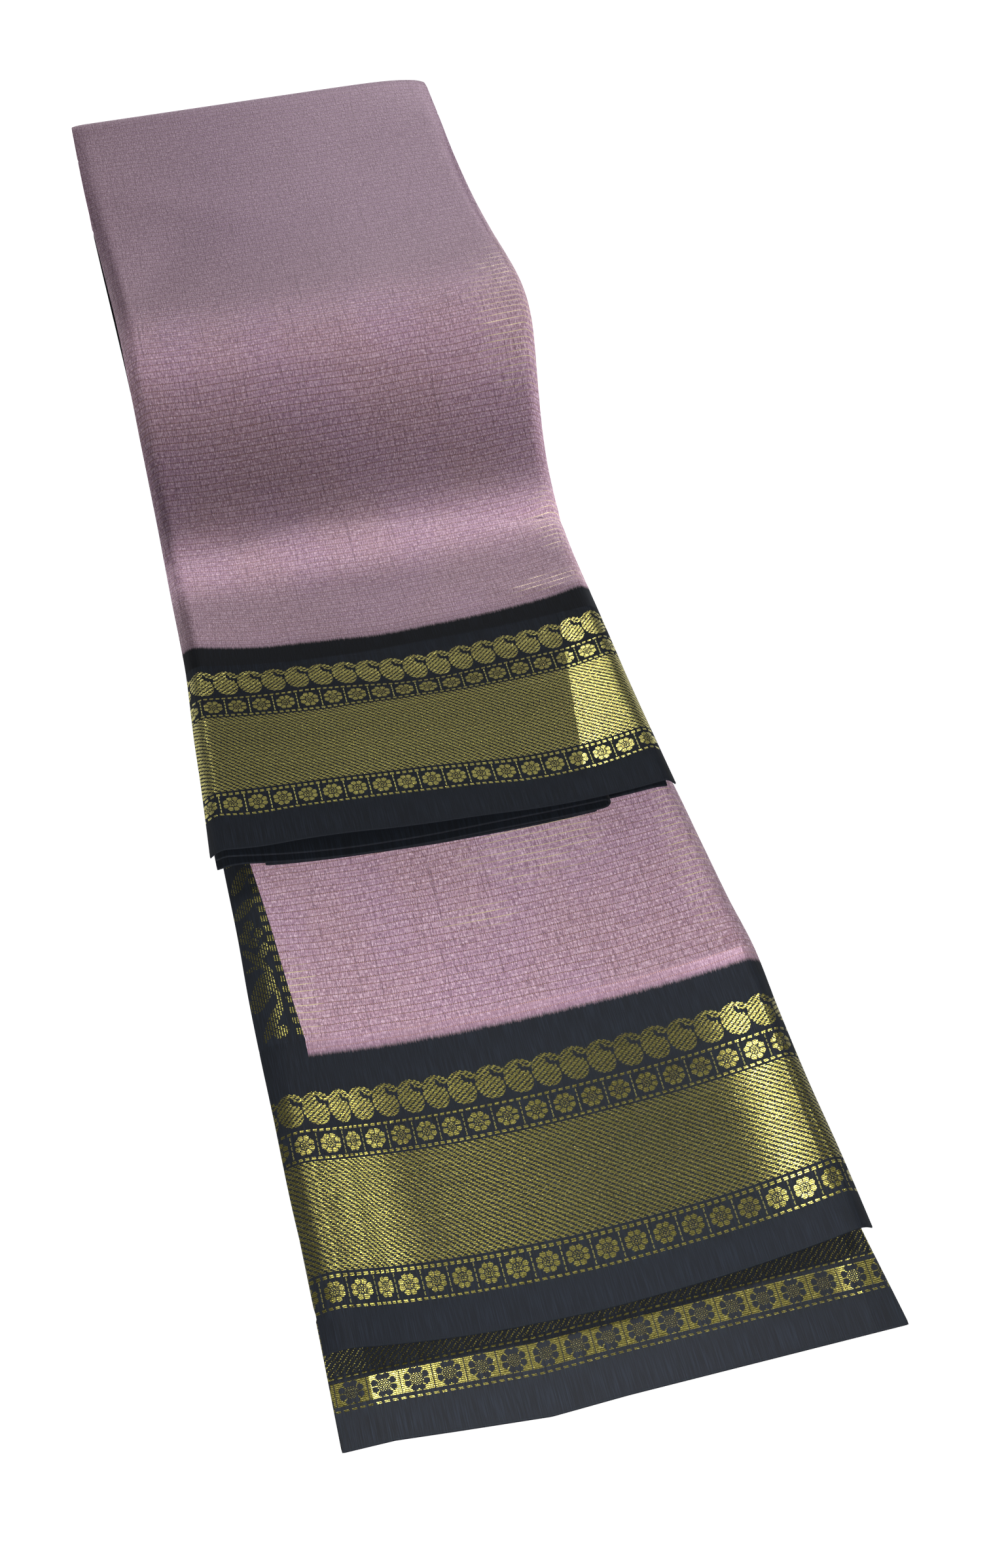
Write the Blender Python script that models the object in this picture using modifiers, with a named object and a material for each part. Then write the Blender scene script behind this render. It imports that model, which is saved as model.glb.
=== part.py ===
"""A sari as a shop folds it, lying flat.

The cloth is folded lengthwise into a strip of many layers, and the strip is folded once across
its middle. Its upper half lies back over its lower half, so both borders show at the near end.

Frame: +Y runs along the strip from the near hem to the far fold, +X is to the right, +Z is up.
The origin is at the centre of the footprint, on the surface that the sari rests on.
Sizes below are in millimetres. A station is the distance from the nearest hem, along +Y.
"""
import math
from collections import namedtuple

import bmesh
import bpy
from mathutils import Vector

MM = 0.001

# Driving sizes
LENGTH = 655.0
CLOTH_WALL = 1.4
CLEARANCE = 0.35
SEAM = 0.3
SLANT_SEAM = 0.6
BEND_RADIUS = 20.5
BEND_STATION = LENGTH - BEND_RADIUS
BEND_STEPS = 10
LONGEST_STEP = 16.0

# Stations where one stretch of cloth ends and the next begins
HIDDEN_REVERSE = 46.0
LOWER_BORDER_END = 137.0
LOWER_TUCK_END = 262.0
UPPER_HEM = 203.0
UPPER_BORDER_END = 300.0
FAR_FOLD_START = 612.0

# Side edges: the cloth rolls down over the last few millimetres
ROLL_DROP = 4.0
ROLL_WIDTH = 9.0
DISH_REACH = 50.0
BOW_POWER = 1.6
EDGE_STEPS = (0.0, 3.0, 9.0, 20.0, 38.0)
MIDDLE_COLUMNS = 3

# Hidden layers: one rounded solid for each half, with the folded edges as ridges on its sides
RIDGE_DEPTH = 2.2
RIDGE_SHOULDERS = (0.3, 0.7)
LOWER_RIDGES = (0.4, 1.9, 0.9)
UPPER_RIDGES = (0.4, 1.8, 0.9, 2.4)
SPLIT_HALF_GAP = 0.2

# A section of one half of the strip: its side edges, the height of its top at mid width, how far
# the top rises towards each side, and how far each side runs on past the middle along the strip
Section = namedtuple("Section", "station left right top dish_left dish_right bow_left bow_right")

FLAP = (
    Section(UPPER_HEM, -94.5, 77.5, 31.0, 4.0, 2.5, 7.0, -1.5),
    Section(236.0, -93.0, 76.4, 27.9, 4.0, 2.5, 7.0, -1.2),
    Section(LOWER_TUCK_END, -92.2, 75.8, 25.0, 4.0, 2.5, 6.8, -0.8),
    Section(275.0, -91.6, 75.8, 23.3, 3.8, 2.4, 6.7, -0.5),
    Section(UPPER_BORDER_END, -90.5, 75.8, 19.8, 3.4, 2.2, 6.3, 0.0),
    Section(324.0, -90.4, 75.9, 15.8, 2.8, 2.0, 4.8, 0.0),
    Section(346.0, -90.5, 76.1, 12.8, 2.2, 1.8, 3.2, 0.0),
    Section(362.0, -90.5, 76.6, 12.4, 1.8, 1.6, 2.2, 0.0),
    Section(378.0, -90.4, 77.6, 13.4, 1.6, 1.6, 1.4, 0.0),
    Section(393.0, -90.3, 79.0, 15.6, 1.6, 1.6, 0.8, 0.0),
    Section(408.0, -90.3, 80.9, 19.5, 1.6, 1.6, 0.4, 0.0),
    Section(420.0, -90.3, 82.7, 24.5, 1.6, 1.6, 0.2, 0.0),
    Section(431.0, -90.3, 84.4, 31.0, 1.6, 1.6, 0.0, 0.0),
    Section(441.0, -90.2, 85.8, 38.0, 1.6, 1.6, 0.0, 0.0),
    Section(450.0, -90.2, 86.8, 43.0, 1.6, 1.6, 0.0, 0.0),
    Section(461.0, -90.2, 87.4, 46.5, 1.5, 1.5, 0.0, 0.0),
    Section(474.0, -90.2, 87.3, 48.0, 1.5, 1.5, 0.0, 0.0),
    Section(492.0, -90.5, 86.0, 47.2, 1.5, 1.5, 0.0, -0.4),
    Section(515.0, -91.2, 84.0, 45.2, 1.4, 1.4, 0.0, -1.0),
    Section(545.0, -92.2, 81.9, 43.2, 1.2, 1.2, 0.0, -2.0),
    Section(580.0, -93.0, 80.6, 41.8, 1.1, 1.1, 0.0, -3.4),
    Section(FAR_FOLD_START, -93.2, 80.4, 41.1, 1.0, 1.0, 0.0, -4.6),
    Section(BEND_STATION, -93.2, 80.5, 41.0, 0.0, 0.0, 0.0, -5.0),
)

LOWER = (
    Section(24.0, -89.4, 92.8, 8.6, 5.0, 4.0, 6.5, 5.0),
    Section(52.0, -89.5, 91.8, 8.8, 4.8, 3.9, 5.9, 4.4),
    Section(80.0, -90.3, 90.2, 9.0, 4.6, 3.8, 5.1, 3.6),
    Section(110.0, -90.5, 89.3, 9.3, 4.3, 3.7, 4.3, 2.8),
    Section(LOWER_BORDER_END, -90.9, 89.0, 9.6, 4.0, 3.5, 3.5, 2.0),
    Section(160.0, -91.0, 86.6, 9.6, 3.8, 3.3, 2.8, 1.5),
    Section(187.0, -90.6, 84.6, 9.4, 3.4, 3.0, 2.0, 1.0),
    Section(221.0, -90.8, 82.2, 9.0, 2.4, 2.2, 1.0, 0.5),
    Section(240.0, -90.6, 79.2, 8.7, 1.0, 1.0, 0.4, 0.2),
    Section(LOWER_TUCK_END, -90.3, 77.2, 8.5, 0.0, 0.0, 0.0, 0.0),
    Section(275.0, -90.2, 76.8, 8.5, 0.0, 0.0, 0.0, 0.0),
    Section(362.0, -90.0, 76.6, 8.5, 0.0, 0.0, 0.0, 0.0),
    Section(474.0, -90.0, 80.0, 8.5, 0.0, 0.0, 0.0, 0.0),
    Section(BEND_STATION, -93.2, 80.5, 8.5, 0.0, 0.0, 0.0, -5.0),
)

GROUND = (
    Section(0.0, -89.4, 94.5, 0.0, 0.0, 0.0, 3.4, 0.0),
    Section(HIDDEN_REVERSE, -89.4, 90.0, 0.0, 0.0, 0.0, 1.6, 0.0),
    Section(150.0, -90.2, 86.4, 0.0, 0.0, 0.0, 0.0, 0.0),
    Section(230.0, -90.2, 80.6, 0.0, 0.0, 0.0, 0.0, 0.0),
    Section(300.0, -90.0, 77.2, 0.0, 0.0, 0.0, 0.0, 0.0),
    Section(474.0, -90.0, 80.0, 0.0, 0.0, 0.0, 0.0, 0.0),
    Section(FAR_FOLD_START, -93.2, 80.4, 0.0, 0.0, 0.0, 0.0, -4.6),
    Section(BEND_STATION, -93.2, 80.5, 0.0, 0.0, 0.0, 0.0, -5.0),
)

# Height where the lower half meets the upper half, past the tucked end of the lower cloth
Split = namedtuple("Split", "station height")
SPLIT = (
    Split(275.0, 7.4),
    Split(324.0, 6.0),
    Split(362.0, 5.6),
    Split(408.0, 6.6),
    Split(450.0, 9.6),
    Split(515.0, 15.4),
    Split(580.0, 19.2),
    Split(BEND_STATION, BEND_RADIUS),
)

# Layers that show under a hem: side edges, how far the front stands back from the hem above,
# and the share of the space between the cloth below and the cloth above at which it lies
Leaf = namedtuple("Leaf", "name left right setback share")
UPPER_LEAF_END = 235.6
UPPER_LEAVES = (
    Leaf("under_hem_third", -75.0, 48.0, 3.0, 0.42),
    Leaf("under_hem_fourth", -90.0, 78.0, 11.0, 0.20),
)
LOOP = Leaf("under_hem_loop", -92.4, 53.0, 1.0, 0.86)
LOOP_LOW_SHARE = 0.56
LOOP_STEPS = 6
LOWER_LEAF_END = 60.0
LOWER_LEAVES = (
    Leaf("lower_hem_second", -88.4, 91.4, 2.5, 0.80),
    Leaf("lower_hem_third", -87.0, 90.0, 5.0, 0.42),
)

# Pallu strip: its inner edge runs slantwise beside the lavender body
PALLU_WIDTH_NEAR = 17.0
PALLU_WIDTH_FAR = 8.0
PALLU_COLUMNS = (0.0, 3.0, 9.0)

# Cloth colours as linear red, green, blue, with roughness and metallic value
Finish = namedtuple("Finish", "color roughness metallic")
LAVENDER = Finish((0.31, 0.20, 0.28), 0.75, 0.0)
LAVENDER_FAR = Finish((0.24, 0.16, 0.23), 0.75, 0.0)
LAVENDER_EDGE = Finish((0.27, 0.18, 0.25), 0.85, 0.0)
GOLD_BORDER = Finish((0.26, 0.22, 0.05), 0.45, 0.6)
NAVY = Finish((0.012, 0.015, 0.024), 0.7, 0.0)


def ease(t):
    """Smooth step from 0 to 1."""
    t = min(max(t, 0.0), 1.0)
    return t * t * (3.0 - 2.0 * t)


def mix(a, b, t):
    """Value between a and b."""
    return a + (b - a) * t


def between(table, station):
    """Row of a table at a station, smooth through the rows and level past its ends."""
    last = len(table) - 1
    if station <= table[0].station:
        return table[0]._replace(station=station)
    if station >= table[last].station:
        return table[last]._replace(station=station)
    i = max(k for k in range(last) if table[k].station <= station)
    a, b = table[i], table[i + 1]
    before, after = table[max(i - 1, 0)], table[min(i + 2, last)]
    step = b.station - a.station
    t = (station - a.station) / step
    values = []
    for pa, p, q, qa in zip(before, a, b, after):
        slope_a = (q - pa) / (b.station - before.station)
        slope_b = (qa - p) / (after.station - a.station)
        h = t * t * (3.0 - 2.0 * t)
        bend_a = t * (1.0 - t) ** 2 * step * slope_a
        bend_b = t * t * (t - 1.0) * step * slope_b
        values.append(mix(p, q, h) + bend_a + bend_b)
    return type(a)(*values)._replace(station=station)


def stations(table, start, stop):
    """Stations of a table from start to stop, with long steps divided evenly."""
    marks = [start] + [row.station for row in table if start < row.station < stop] + [stop]
    result = [start]
    for a, b in zip(marks, marks[1:]):
        parts = math.ceil((b - a) / LONGEST_STEP)
        result += [mix(a, b, k / parts) for k in range(1, parts + 1)]
    return result


def columns(section):
    """Distances of the columns across a section, closer together near its edges."""
    left = [section.left + step for step in EDGE_STEPS]
    right = [section.right - step for step in reversed(EDGE_STEPS)]
    parts = MIDDLE_COLUMNS + 1
    middle = [mix(left[-1], right[0], k / parts) for k in range(1, parts)]
    return left + middle + right


def rise(section, x):
    """Height of the top at x over its height at mid width."""
    from_left = max(x - section.left, 0.0)
    from_right = max(section.right - x, 0.0)
    near = min(from_left, from_right)
    roll = ROLL_DROP * max(1.0 - near / ROLL_WIDTH, 0.0) ** 2
    lift_left = section.dish_left * ease(1.0 - (from_left - ROLL_WIDTH) / DISH_REACH)
    lift_right = section.dish_right * ease(1.0 - (from_right - ROLL_WIDTH) / DISH_REACH)
    return lift_left + lift_right - roll


def bow(section, x):
    """How far the cloth at x runs on along the strip past its middle."""
    half = (section.right - section.left) / 2.0
    u = (x - (section.left + section.right) / 2.0) / half
    amount = section.bow_right if u > 0.0 else section.bow_left
    return amount * min(abs(u), 1.0) ** BOW_POWER


def top_height(table, station, x):
    """Height of the top surface of a table's cloth."""
    section = between(table, station)
    return section.top + rise(section, x)


def below(table, station, x, distance):
    """Height of the surface that lies a distance under the cloth, measured square to it."""
    probe = 0.5
    here = top_height(table, station, x)
    along = (top_height(table, station + probe, x) - top_height(table, station - probe, x))
    across = (top_height(table, station, x + probe) - top_height(table, station, x - probe))
    slope = math.hypot(along, across) / (2.0 * probe)
    return here - distance * math.hypot(1.0, slope)


def place(x, station, z):
    """Point in metres, with the origin at the centre of the footprint."""
    return Vector((x, station - LENGTH / 2.0, z)) * MM


def finish_object(obj, finish):
    """Give an object its material, smooth shading and its place in the collection."""
    material = bpy.data.materials.new(obj.name + "_cloth")
    material.use_nodes = True
    shader = material.node_tree.nodes["Principled BSDF"]
    shader.inputs["Base Color"].default_value = (*finish.color, 1.0)
    shader.inputs["Roughness"].default_value = finish.roughness
    shader.inputs["Metallic"].default_value = finish.metallic
    obj.data.materials.append(material)
    obj.data.shade_smooth()
    obj.data.set_sharp_from_angle(angle=math.radians(40.0))
    collection.objects.link(obj)


def sheet(name, rows, finish):
    """Cloth wall under a surface, given as rows of points that run to the right."""
    mesh = bpy.data.meshes.new(name)
    work = bmesh.new()
    across, along = len(rows[0]) - 1, len(rows) - 1
    bmesh.ops.create_grid(work, x_segments=across, y_segments=along, size=1.0)
    for vert in work.verts:
        column = round((vert.co.x + 1.0) / 2.0 * across)
        row = round((vert.co.y + 1.0) / 2.0 * along)
        vert.co = rows[row][column]
    work.to_mesh(mesh)
    work.free()
    obj = bpy.data.objects.new(name, mesh)
    wall = obj.modifiers.new("wall", "SOLIDIFY")
    wall.thickness = CLOTH_WALL * MM
    wall.offset = -1.0
    wall.use_even_offset = True
    finish_object(obj, finish)
    return obj


def loft(name, rings, finish):
    """Closed solid through rings of (top row, left side, bottom row, right side) points."""
    mesh = bpy.data.meshes.new(name)
    work = bmesh.new()
    top_count = len(rings[0][0])
    loops = []
    for top, left, bottom, right in rings:
        points = top + right + list(reversed(bottom)) + list(reversed(left))
        loops.append([work.verts.new(point) for point in points])
    count = len(loops[0])
    for a, b in zip(loops, loops[1:]):
        for i in range(count):
            j = (i + 1) % count
            work.faces.new((a[i], a[j], b[j], b[i]))
    side = len(rings[0][3])
    for loop, turned in ((loops[0], False), (loops[-1], True)):
        top = loop[:top_count]
        right = loop[top_count:top_count + side]
        bottom = list(reversed(loop[top_count + side:count - side]))
        left = list(reversed(loop[count - side:]))
        faces = [[top[i + 1], top[i], bottom[i], bottom[i + 1]] for i in range(top_count - 1)]
        faces.append([top[0]] + left + [bottom[0]])
        faces.append([bottom[-1]] + list(reversed(right)) + [top[-1]])
        for corners in faces:
            work.faces.new(list(reversed(corners)) if turned else corners)
    bmesh.ops.recalc_face_normals(work, faces=work.faces)
    if work.calc_volume(signed=True) < 0.0:
        bmesh.ops.reverse_faces(work, faces=work.faces)
    work.to_mesh(mesh)
    work.free()
    obj = bpy.data.objects.new(name, mesh)
    finish_object(obj, finish)
    return obj


def top_rows(table, start, stop):
    """Rows of points on a table's top surface."""
    rows = []
    for station in stations(table, start, stop):
        section = between(table, station)
        rows.append([
            place(x, station + bow(section, x), section.top + rise(section, x))
            for x in columns(section)
        ])
    return rows


def ground_rows(start, stop):
    """Rows of points on the flat underside, from the far end to the near one."""
    rows = []
    for station in reversed(stations(GROUND, start, stop)):
        section = between(GROUND, station)
        rows.append([place(x, station + bow(section, x), 0.0) for x in columns(section)])
    return rows


def bend_point(x, radius_top, radius_bottom, angle):
    """Point on the far fold: angle runs from 90 degrees on top to -90 degrees underneath."""
    section = FLAP[-1]
    share = (1.0 + math.sin(angle)) / 2.0
    radius = mix(radius_bottom, radius_top, share)
    station = BEND_STATION + bow(section, x) + radius * math.cos(angle)
    return place(x, station, BEND_RADIUS + radius * math.sin(angle))


def bend_angles():
    """Angles round the far fold, from its top to its underside."""
    return [math.radians(90.0 - 180.0 * k / BEND_STEPS) for k in range(BEND_STEPS + 1)]


def far_fold():
    """The outer cloth where it turns round the far end of the strip."""
    section = FLAP[-1]
    rows = top_rows(FLAP, FAR_FOLD_START + SEAM, BEND_STATION)[:-1]
    for angle in bend_angles():
        row = []
        for x in columns(section):
            reach = section.top + rise(section, x) - BEND_RADIUS
            row.append(bend_point(x, reach, BEND_RADIUS, angle))
        rows.append(row)
    rows += ground_rows(FAR_FOLD_START + SEAM, BEND_STATION)[1:]
    return sheet("far_fold", rows, LAVENDER_FAR)


def ridge_points(ridges, start, end, inset_point):
    """Side of a layered solid: two shoulders for each ridge and a groove between ridges."""
    points = []
    count = len(ridges)
    for k, inset in enumerate(ridges):
        for shoulder in RIDGE_SHOULDERS:
            points.append(inset_point(inset, mix(start, end, (k + shoulder) / count)))
        if k < count - 1:
            points.append(inset_point(inset + RIDGE_DEPTH, mix(start, end, (k + 1) / count)))
    return points


def straight_ring(section, tops, bottoms, ridges):
    """Ring of a layered solid across the strip, with the heights of its top and bottom rows."""
    station = section.station
    xs = columns(section)[1:-1]

    def at(x, z):
        return place(x, station + bow(section, x), z)

    top = [at(x, z) for x, z in zip(xs, tops)]
    bottom = [at(x, z) for x, z in zip(xs, bottoms)]
    left = ridge_points(ridges, tops[0], bottoms[0], lambda inset, z: at(xs[0] + inset, z))
    right = ridge_points(ridges, tops[-1], bottoms[-1], lambda inset, z: at(xs[-1] - inset, z))
    return top, left, bottom, right


def lower_layers():
    """The hidden layers of the lower half, under its cloth and over the underside."""
    rings = []
    floor = CLOTH_WALL + CLEARANCE
    marks = stations(LOWER, LOWER_LEAF_END + CLEARANCE, LOWER_TUCK_END)
    marks += [row.station for row in SPLIT[:-1]] + [BEND_STATION - CLEARANCE]
    for station in marks:
        section = between(LOWER, station)
        xs = columns(section)[1:-1]
        if station <= LOWER_TUCK_END:
            tops = [below(LOWER, station, x, floor) for x in xs]
        else:
            tops = [between(SPLIT, station).height - SPLIT_HALF_GAP] * len(xs)
        rings.append(straight_ring(section, tops, [floor] * len(xs), LOWER_RIDGES))
    return loft("lower_layers", rings, NAVY)


def upper_layers():
    """The hidden layers of the upper half and of the far fold."""
    rings = []
    offset = CLOTH_WALL + CLEARANCE
    marks = stations(FLAP, UPPER_LEAF_END + CLEARANCE, BEND_STATION)
    for station in marks:
        section = between(FLAP, station)
        xs = columns(section)[1:-1]
        tops = [below(FLAP, station, x, offset) for x in xs]
        if station <= LOWER_TUCK_END:
            bottoms = [top_height(LOWER, station, x) + 2.0 * CLEARANCE for x in xs]
        else:
            bottoms = [between(SPLIT, station).height + SPLIT_HALF_GAP] * len(xs)
        rings.append(straight_ring(section, tops, bottoms, UPPER_RIDGES))
    section = FLAP[-1]
    xs = columns(section)[1:-1]
    tops = [below(FLAP, BEND_STATION, x, offset) - BEND_RADIUS for x in xs]
    flat = BEND_RADIUS - offset
    for angle in bend_angles()[1:]:
        top = [bend_point(x, reach, flat, angle) for x, reach in zip(xs, tops)]
        bottom = [bend_point(x, SPLIT_HALF_GAP, SPLIT_HALF_GAP, angle) for x in xs]
        sides = []
        for x, reach, inwards in ((xs[0], tops[0], 1.0), (xs[-1], tops[-1], -1.0)):
            share = (1.0 + math.sin(angle)) / 2.0
            outer = mix(flat, reach, share)
            sides.append(ridge_points(
                UPPER_RIDGES, outer, SPLIT_HALF_GAP,
                lambda inset, r, x=x, way=inwards: bend_point(x + way * inset, r, r, angle)))
        rings.append((top, sides[0], bottom, sides[1]))
    return loft("upper_layers", rings, NAVY)


def leaf_rows(leaf, table, stop, low_height, high_height):
    """Rows of one layer that shows under the hem of a table's cloth."""
    front = table[0].station + leaf.setback
    rows = []
    for station in (front, mix(front, stop, 0.4), stop):
        section = between(table, station)
        row = []
        for x in columns(section._replace(left=leaf.left, right=leaf.right)):
            z = mix(low_height(station, x), high_height(station, x), leaf.share)
            row.append(place(x, station + bow(section, x), z))
        rows.append(row)
    return rows


def under_upper_low(station, x):
    """Height just over the lower half's cloth, under the upper hem."""
    return top_height(LOWER, station, x) + CLEARANCE


def under_upper_high(station, x):
    """Height of the underside of the upper hem's cloth."""
    return below(FLAP, station, x, CLOTH_WALL)


def under_lower_low(station, x):
    """Height of the top of the lowest layer."""
    return CLOTH_WALL


def under_lower_high(station, x):
    """Height of the underside of the lower hem's cloth."""
    return below(LOWER, station, x, CLOTH_WALL)


def hem_leaves():
    """The layers whose edges show under the two hems."""
    for leaf in UPPER_LEAVES:
        rows = leaf_rows(leaf, FLAP, UPPER_LEAF_END, under_upper_low, under_upper_high)
        sheet(leaf.name, rows, NAVY)
    for leaf in LOWER_LEAVES:
        rows = leaf_rows(leaf, LOWER, LOWER_LEAF_END, under_lower_low, under_lower_high)
        sheet(leaf.name, rows, NAVY)


def hem_loop():
    """The pair of layers under the upper hem that end in a rounded fold at the right."""
    front = UPPER_HEM + LOOP.setback
    rows = []
    for station in (front, mix(front, UPPER_LEAF_END, 0.4), UPPER_LEAF_END):
        section = between(FLAP, station)

        def height(x, share):
            return mix(under_upper_low(station, x), under_upper_high(station, x), share)

        radius = (height(LOOP.right, LOOP.share) - height(LOOP.right, LOOP_LOW_SHARE)) / 2.0
        centre = (height(LOOP.right, LOOP.share) + height(LOOP.right, LOOP_LOW_SHARE)) / 2.0
        turn = LOOP.right - radius
        leaf_xs = columns(section._replace(left=LOOP.left, right=turn))
        row = [place(x, station + bow(section, x), height(x, LOOP.share)) for x in leaf_xs]
        for k in range(1, LOOP_STEPS):
            angle = math.radians(90.0 - 180.0 * k / LOOP_STEPS)
            x = turn + radius * math.cos(angle)
            z = centre + radius * math.sin(angle)
            row.append(place(x, station + bow(section, x), z))
        for x in reversed(leaf_xs):
            row.append(place(x, station + bow(section, x), height(x, LOOP_LOW_SHARE)))
        rows.append(row)
    return sheet(LOOP.name, rows, NAVY)


def lower_stretches():
    """Border, pallu strip and lavender body of the lower half."""
    border = top_rows(LOWER, LOWER[0].station, LOWER_BORDER_END - SEAM)
    sheet("lower_border", border, GOLD_BORDER)
    pallu, body = [], []
    for station in stations(LOWER, LOWER_BORDER_END, LOWER_TUCK_END):
        section = between(LOWER, station)
        share = (station - LOWER_BORDER_END) / (LOWER_TUCK_END - LOWER_BORDER_END)
        inner = section.left + mix(PALLU_WIDTH_NEAR, PALLU_WIDTH_FAR, share)
        scale = (inner - section.left) / PALLU_WIDTH_NEAR

        def at(x):
            return place(x, station + bow(section, x), section.top + rise(section, x))

        pallu.append([at(section.left + step * scale) for step in (*PALLU_COLUMNS, PALLU_WIDTH_NEAR)])
        outer = [x for x in columns(section) if x > section.left + PALLU_WIDTH_NEAR + 1.0]
        body.append([at(inner + SLANT_SEAM)] + [at(x) for x in outer])
    sheet("lower_pallu", pallu, NAVY)
    sheet("lower_body", body, LAVENDER)


for old in list(bpy.data.objects):
    bpy.data.objects.remove(old)
collection = bpy.data.collections.new("folded_sari")
bpy.context.scene.collection.children.link(collection)

sheet("upper_border", top_rows(FLAP, UPPER_HEM, UPPER_BORDER_END - SEAM), GOLD_BORDER)
sheet("upper_body", top_rows(FLAP, UPPER_BORDER_END, FAR_FOLD_START), LAVENDER_EDGE)
far_fold()
sheet("underside", ground_rows(HIDDEN_REVERSE + SEAM, FAR_FOLD_START), LAVENDER)
sheet("lowest_border", ground_rows(0.0, HIDDEN_REVERSE), NAVY)
lower_stretches()
lower_layers()
upper_layers()
hem_loop()
hem_leaves()
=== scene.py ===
"""Looks of a sari as a shop folds it: woven borders, checked lavender silk and many folded layers.

Every length is in millimetres until a mesh, a light or the camera is made. A station is the
distance from the nearest hem of the strip, along +Y. +X is to the right and +Z is up.
Cloth coordinates are u, across the strip, and v, along the cloth from its own hem.
"""

import logging
import math
from dataclasses import dataclass
from enum import Enum
from typing import Callable

import bpy
import numpy as np
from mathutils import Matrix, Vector

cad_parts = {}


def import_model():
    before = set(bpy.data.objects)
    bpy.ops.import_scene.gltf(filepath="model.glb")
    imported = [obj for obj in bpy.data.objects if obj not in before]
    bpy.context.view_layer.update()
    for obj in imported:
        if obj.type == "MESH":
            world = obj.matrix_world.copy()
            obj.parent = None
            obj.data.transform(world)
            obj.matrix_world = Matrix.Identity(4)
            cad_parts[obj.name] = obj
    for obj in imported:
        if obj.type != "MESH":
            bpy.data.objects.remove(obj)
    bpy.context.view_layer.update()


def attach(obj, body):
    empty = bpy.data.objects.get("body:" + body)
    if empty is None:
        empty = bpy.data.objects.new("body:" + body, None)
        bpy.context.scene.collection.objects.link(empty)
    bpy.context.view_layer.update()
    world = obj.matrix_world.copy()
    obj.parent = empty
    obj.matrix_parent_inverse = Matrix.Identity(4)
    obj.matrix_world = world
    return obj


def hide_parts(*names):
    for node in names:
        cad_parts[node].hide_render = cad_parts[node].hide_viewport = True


LOG = logging.getLogger("folded_sari")
MM = 0.001

LENGTH = 655.0
WALL = 1.4
BEND_RADIUS = 20.5
BEND_STATION = LENGTH - BEND_RADIUS
UPPER_HEM = 203.0
UPPER_BORDER_END = 300.0
FAR_FOLD_START = 612.0
LOWER_HEM = 24.0
LOWER_BORDER_END = 137.0
LOWER_TUCK_END = 262.0
HIDDEN_REVERSE = 46.0
# The outermost cloth's path: half a turn round the far fold, then underneath to the lowest hem
BEND_ARC = math.pi * BEND_RADIUS
UNDER_START = BEND_STATION + BEND_ARC
PATH_END = UNDER_START + BEND_STATION

# Cloth coordinate along the cloth where the near black border ends and the lavender begins
BORDER_WIDTH = 107.0


def linear(code: str) -> tuple[float, float, float, float]:
    """Turn an sRGB hex colour into linear red, green, blue and alpha.

    Args:
        code: Six hex digits after a number sign.

    Returns:
        The colour as Blender's sockets take it.
    """
    values = [int(code[i:i + 2], 16) / 255.0 for i in (1, 3, 5)]
    r, g, b = (c / 12.92 if c <= 0.04045 else ((c + 0.055) / 1.055) ** 2.4 for c in values)
    return r, g, b, 1.0


def add_node(tree: bpy.types.NodeTree, kind: str, settings: dict, links: dict) -> bpy.types.Node:
    """Add a node with its settings and links.

    Args:
        tree: The material's node tree.
        kind: Blender's name for the node.
        settings: Values by attribute name, or by input name or number.
        links: Sockets by input name or number.

    Returns:
        The new node.
    """
    node = tree.nodes.new(kind)
    for name, value in settings.items():
        if isinstance(name, str) and hasattr(node, name):
            setattr(node, name, value)
        else:
            node.inputs[name].default_value = value
    for name, socket in links.items():
        tree.links.new(socket, node.inputs[name])
    return node


def joined_by(kind: str) -> Callable[..., "Term"]:
    """Method that joins a term and what follows it by one operation."""
    return lambda *parts: Term(kind, *parts)


class Term:
    """A number that varies over the cloth, as a formula of its coordinates."""

    def __init__(self, kind: str, *parts: "Term | float") -> None:
        """Keep the operation and its parts."""
        self.kind = kind
        self.parts = parts

    __add__ = joined_by("ADD")
    __sub__ = joined_by("SUBTRACT")
    __mul__ = joined_by("MULTIPLY")
    __truediv__ = joined_by("DIVIDE")
    __abs__ = joined_by("ABSOLUTE")
    # Masks are 1 inside and 0 outside
    __lt__ = joined_by("LESS_THAN")
    __gt__ = joined_by("GREATER_THAN")
    __and__ = joined_by("MULTIPLY")
    __or__ = joined_by("MAXIMUM")

    def __rsub__(self, other: float) -> "Term":
        """Difference from a number."""
        return Term("SUBTRACT", other, self)


U = Term("U")
V = Term("V")
NOTHING = U * 0.0


def noise(across: float, along: float, seed: float, detail: float = 1.0) -> Term:
    """Smooth noise from 0 to 1, with so many grains to a millimetre each way."""
    return Term("NOISE", across, along, seed, detail)


def ramp(value: Term, low: float, high: float) -> Term:
    """0 below low, 1 above high and even between them."""
    return Term("RAMP", value, low, high)


def repeat(value: Term, pitch: float) -> Term:
    """Distance to the nearest middle of a repeat of that pitch."""
    return (Term("FRACT", value / pitch + 0.5) - 0.5) * pitch


def ellipse(across: Term, along: Term, centre: tuple[float, float],
            radii: tuple[float, float], lean: float = 0.0) -> Term:
    """Squared distance from an ellipse's centre, 1 on its edge.

    Args:
        across: Coordinate across.
        along: Coordinate along.
        centre: Middle of the ellipse.
        radii: Half its length along its own axis, and half its width.
        lean: Angle of its own axis from across, in degrees.

    Returns:
        The term, less than 1 inside.
    """
    c, s = math.cos(math.radians(lean)), math.sin(math.radians(lean))
    x, y = across - centre[0], along - centre[1]
    major = (x * c + y * s) / radii[0]
    minor = (y * c - x * s) / radii[1]
    return major * major + minor * minor


# Sockets of a Mix node that is set to colours
MIX_SHARE, MIX_UNDER, MIX_OVER, MIX_COLOUR = 0, 6, 7, 2


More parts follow.
